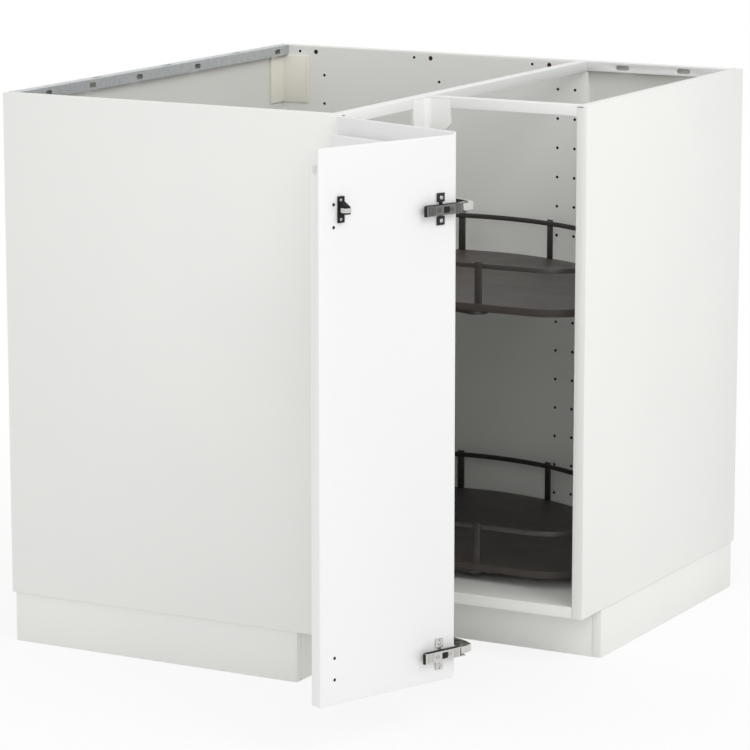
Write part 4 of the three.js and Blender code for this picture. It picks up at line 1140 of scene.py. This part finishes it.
def dress_plate(node_name, height, metal, place, way, face, body):
    """The plate's wings: each narrows to a neck at the arm, and has a screw and a small hole."""
    plate = refined(node_name, node_name + "_cross", metal, PLATE_ROUND)
    middle = way * PLATE_MIDDLE
    cuts = []
    for rise in (-PLATE_HOLE_RISE, PLATE_HOLE_RISE):
        centre = (middle, face, height + rise)
        cuts.append(round_piece(PLATE_HOLE, 2 * PLATE_CUT, centre, "y", sides=16))
    for side in (-1, 1):
        for rise in (-1, 1):
            start = (middle + side * NECK_HALF, face - PAST, height + rise * NECK_START)
            end = (middle + side * NECK_WING_HALF, face + PLATE_CUT, height + rise * NECK_END)
            cuts.append(box_piece(start, end))
    combined(plate, [moved(painted(cut, metal), place) for cut in cuts], "DIFFERENCE")
    seat = face + PLATE_TOP - PLATE_SCREW_SUNK
    places = [(middle, seat, height + rise) for rise in (-PLATE_SCREW_RISE, PLATE_SCREW_RISE)]
    heads = screws(places, "+y", PLATE_SCREW, place)
    stands_for(assembled(plate, *heads), body, "nickel", node_name)


def dress_arm(node_name, height, metal, place, way, face, body):
    """The arm: pressed ribs, two screws in round recesses, a black insert between them, a black
    cap on the closed end and a black strip along the upper cheek, which is painted shade."""
    arm = refined(node_name, node_name + "_channel", metal, ARM_ROUND, segments=3)
    web = face + ARM_RAISE
    foot, top = height - ARM_HALF_HEIGHT, height + ARM_HALF_HEIGHT

    def block(span, out, rise):
        """A box over one span along the arm, one out of the board and one upwards."""
        return box_piece((way * span[0], out[0], rise[0]), (way * span[1], out[1], rise[1]))

    cuts = []
    rib_out = (web - ARM_RIB_DEPTH, web + PAST)
    rib_rise = (foot + ARM_RIB_MARGIN, top - ARM_RIB_MARGIN)
    for x in ARM_RIBS:
        cuts.append(block((x - ARM_RIB_HALF, x + ARM_RIB_HALF), rib_out, rib_rise))
    for x in ARM_SCREW_PLACES:
        centre = (way * x, web, height)
        cuts.append(round_piece(ARM_RECESS, 2 * ARM_RECESS_DEPTH, centre, "y", sides=28))
    if way > 0:
        window_rise = (foot + WINDOW_MARGIN, top - WINDOW_MARGIN)
        cuts.append(block(WINDOW, (web - WINDOW_DEPTH, web + PAST), window_rise))
    cuts.append(block(TAPER, (face, face + TAPER_RAISE), (foot - PAST, top + PAST)))
    combined(arm, [moved(painted(cut, metal), place) for cut in cuts], "DIFFERENCE")
    cap_rise = (foot - CHEEK_PROUD, top + CHEEK_PROUD)
    insert_rise = (height - INSERT_HALF_HEIGHT, height + INSERT_HALF_HEIGHT)
    # the last of these blocks is painted shade along the upper cheek
    black = [
        block(END_CAP, (face + END_CAP_RAISE, web + END_CAP_PROUD), cap_rise),
        block(INSERT, (web - INSERT_SUNK, web + INSERT_PROUD), insert_rise),
        block(UPPER_CHEEK_SHADE, (face + UPPER_CHEEK_SHADE_RAISE, web - CHEEK_PROUD), (top - CHEEK_PROUD, cap_rise[1])),
    ]
    details = [moved(painted(edged(piece, BLACK_ROUND), black_plastic), place) for piece in black]
    places = [(way * x, web - ARM_SCREW_SUNK, height) for x in ARM_SCREW_PLACES]
    details += [painted(head, metal) for head in screws(places, "+y", ARM_SCREW, place)]
    stands_for(assembled(arm, *details), body, "nickel", node_name)


def dress_link(node_name, body):
    strip = refined(node_name, node_name + "_strip", nickel, LINK_ROUND, angle=40)
    stands_for(smoothed(strip, 40), body, "nickel", node_name)


def dress_cup(node_name, height, metal, along):
    """The cup: its rim and flange, with two screws."""
    cup = refined(node_name, node_name + "_pressing", metal, CUP_ROUND, angle=40)
    face = DOOR_GAP - CUP_FLANGE
    places = [(face, along, height + rise) for rise in (-CUP_SCREW_RISE, CUP_SCREW_RISE)]
    heads = screws(places, "-x", CUP_SCREW, swing)
    stands_for(assembled(cup, *heads), "door_left", "nickel", node_name)


fold_foot = fold @ Matrix.Translation((FOLD_GAP, 0, 0))
hinges = (
    ("cabinet_hinge", swing_foot, -1, BOARD, "root", cups_along[0]),
    ("fold_hinge", fold_foot, 1, LEAF_INNER, "door_right", cups_along[1]),
)
# The top hinges take the darker nickel copies, which are painted shade and reflection; the bottom ones
# take the plain nickel.
for position, metal, wing_metal in (("top", nickel_painted_dark_reflection, nickel_painted_darker_reflection), ("bottom", nickel, nickel)):
    height = hinge_heights[position]
    for hinge, place, way, face, body, along in hinges:
        dress_plate(hinge + "_plate_" + position, height, wing_metal, place, way, face, body)
        dress_arm(hinge + "_arm_" + position, height, metal, place, way, face, body)
        dress_link(hinge + "_link_" + position, hinge + "_links")
        dress_cup(hinge + "_cup_" + position, height, metal, along)

# ---- Guide roller ----
# A small grey roller on a black plastic bracket near the free edge of the right leaf. It runs in
# when the doors close.
ROLLER = 0.0075
ROLLER_BORE = 0.0018
ROLLER_GROOVE = 0.0007
ROLLER_FROM_EDGE = 0.0385
ROLLER_BRACKET_BASE = 0.0033
ROLLER_BRACKET_ROUND = 0.0005
WEDGE_HALF = 0.0044
WEDGE_OUTLINE = ((-0.001, 0.0052), (0.0125, 0.0052), (0.0125, 0.0062), (-0.001, 0.0125))
ROLLER_SCREW = 0.0022
ROLLER_SCREW_ASIDE = 0.0012
ROLLER_SCREW_RISE = 0.0135
ROLLER_SCREW_SUNK = 0.0006
roller_grey = finish(
    "grey_roller_plastic", (0.62, 0.62, 0.60), (0.56, 0.56, 0.545),
    rough=(0.35, 0.5), texture=1500, height=0.00005,
)
low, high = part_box("guide_roller")
centre = (low + high) / 2
roller_profile = [
    (ROLLER_BORE, low.z), (ROLLER - 0.0012, low.z), (ROLLER - 0.0003, low.z + 0.0005),
    (ROLLER, low.z + 0.0013), (ROLLER, centre.z - 0.0006), (ROLLER - ROLLER_GROOVE, centre.z),
    (ROLLER, centre.z + 0.0006), (ROLLER, high.z - 0.0013), (ROLLER - 0.0003, high.z - 0.0005),
    (ROLLER - 0.0012, high.z), (ROLLER_BORE, high.z), (ROLLER_BORE, low.z),
]
roller = painted(turned(roller_profile, centre, "roller_wheel", 40), roller_grey)
stands_for(smoothed(roller), "roller", "roller_plastic", "guide_roller")

bracket = refined("roller_bracket", "roller_bracket_moulding", black_plastic, ROLLER_BRACKET_ROUND)
roller_x = FOLD_GAP + leaf_length - ROLLER_FROM_EDGE
base_top = LEAF_INNER + ROLLER_BRACKET_BASE
outline = [(roller_x - WEDGE_HALF, base_top + out, centre.z + rise) for out, rise in WEDGE_OUTLINE]
wedge = edged(slab(outline, (2 * WEDGE_HALF, 0, 0), "wedge"), BLACK_ROUND)
moved(painted(wedge, black_plastic), fold)
places = [
    (roller_x + ROLLER_SCREW_ASIDE, base_top - ROLLER_SCREW_SUNK, centre.z + rise)
    for rise in (-ROLLER_SCREW_RISE, ROLLER_SCREW_RISE)
]
heads = screws(places, "+y", ROLLER_SCREW, fold)
stands_for(assembled(bracket, wedge, *heads), "door_right", "black_plastic", "roller_bracket")
bpy.data.objects.remove(screw_head)
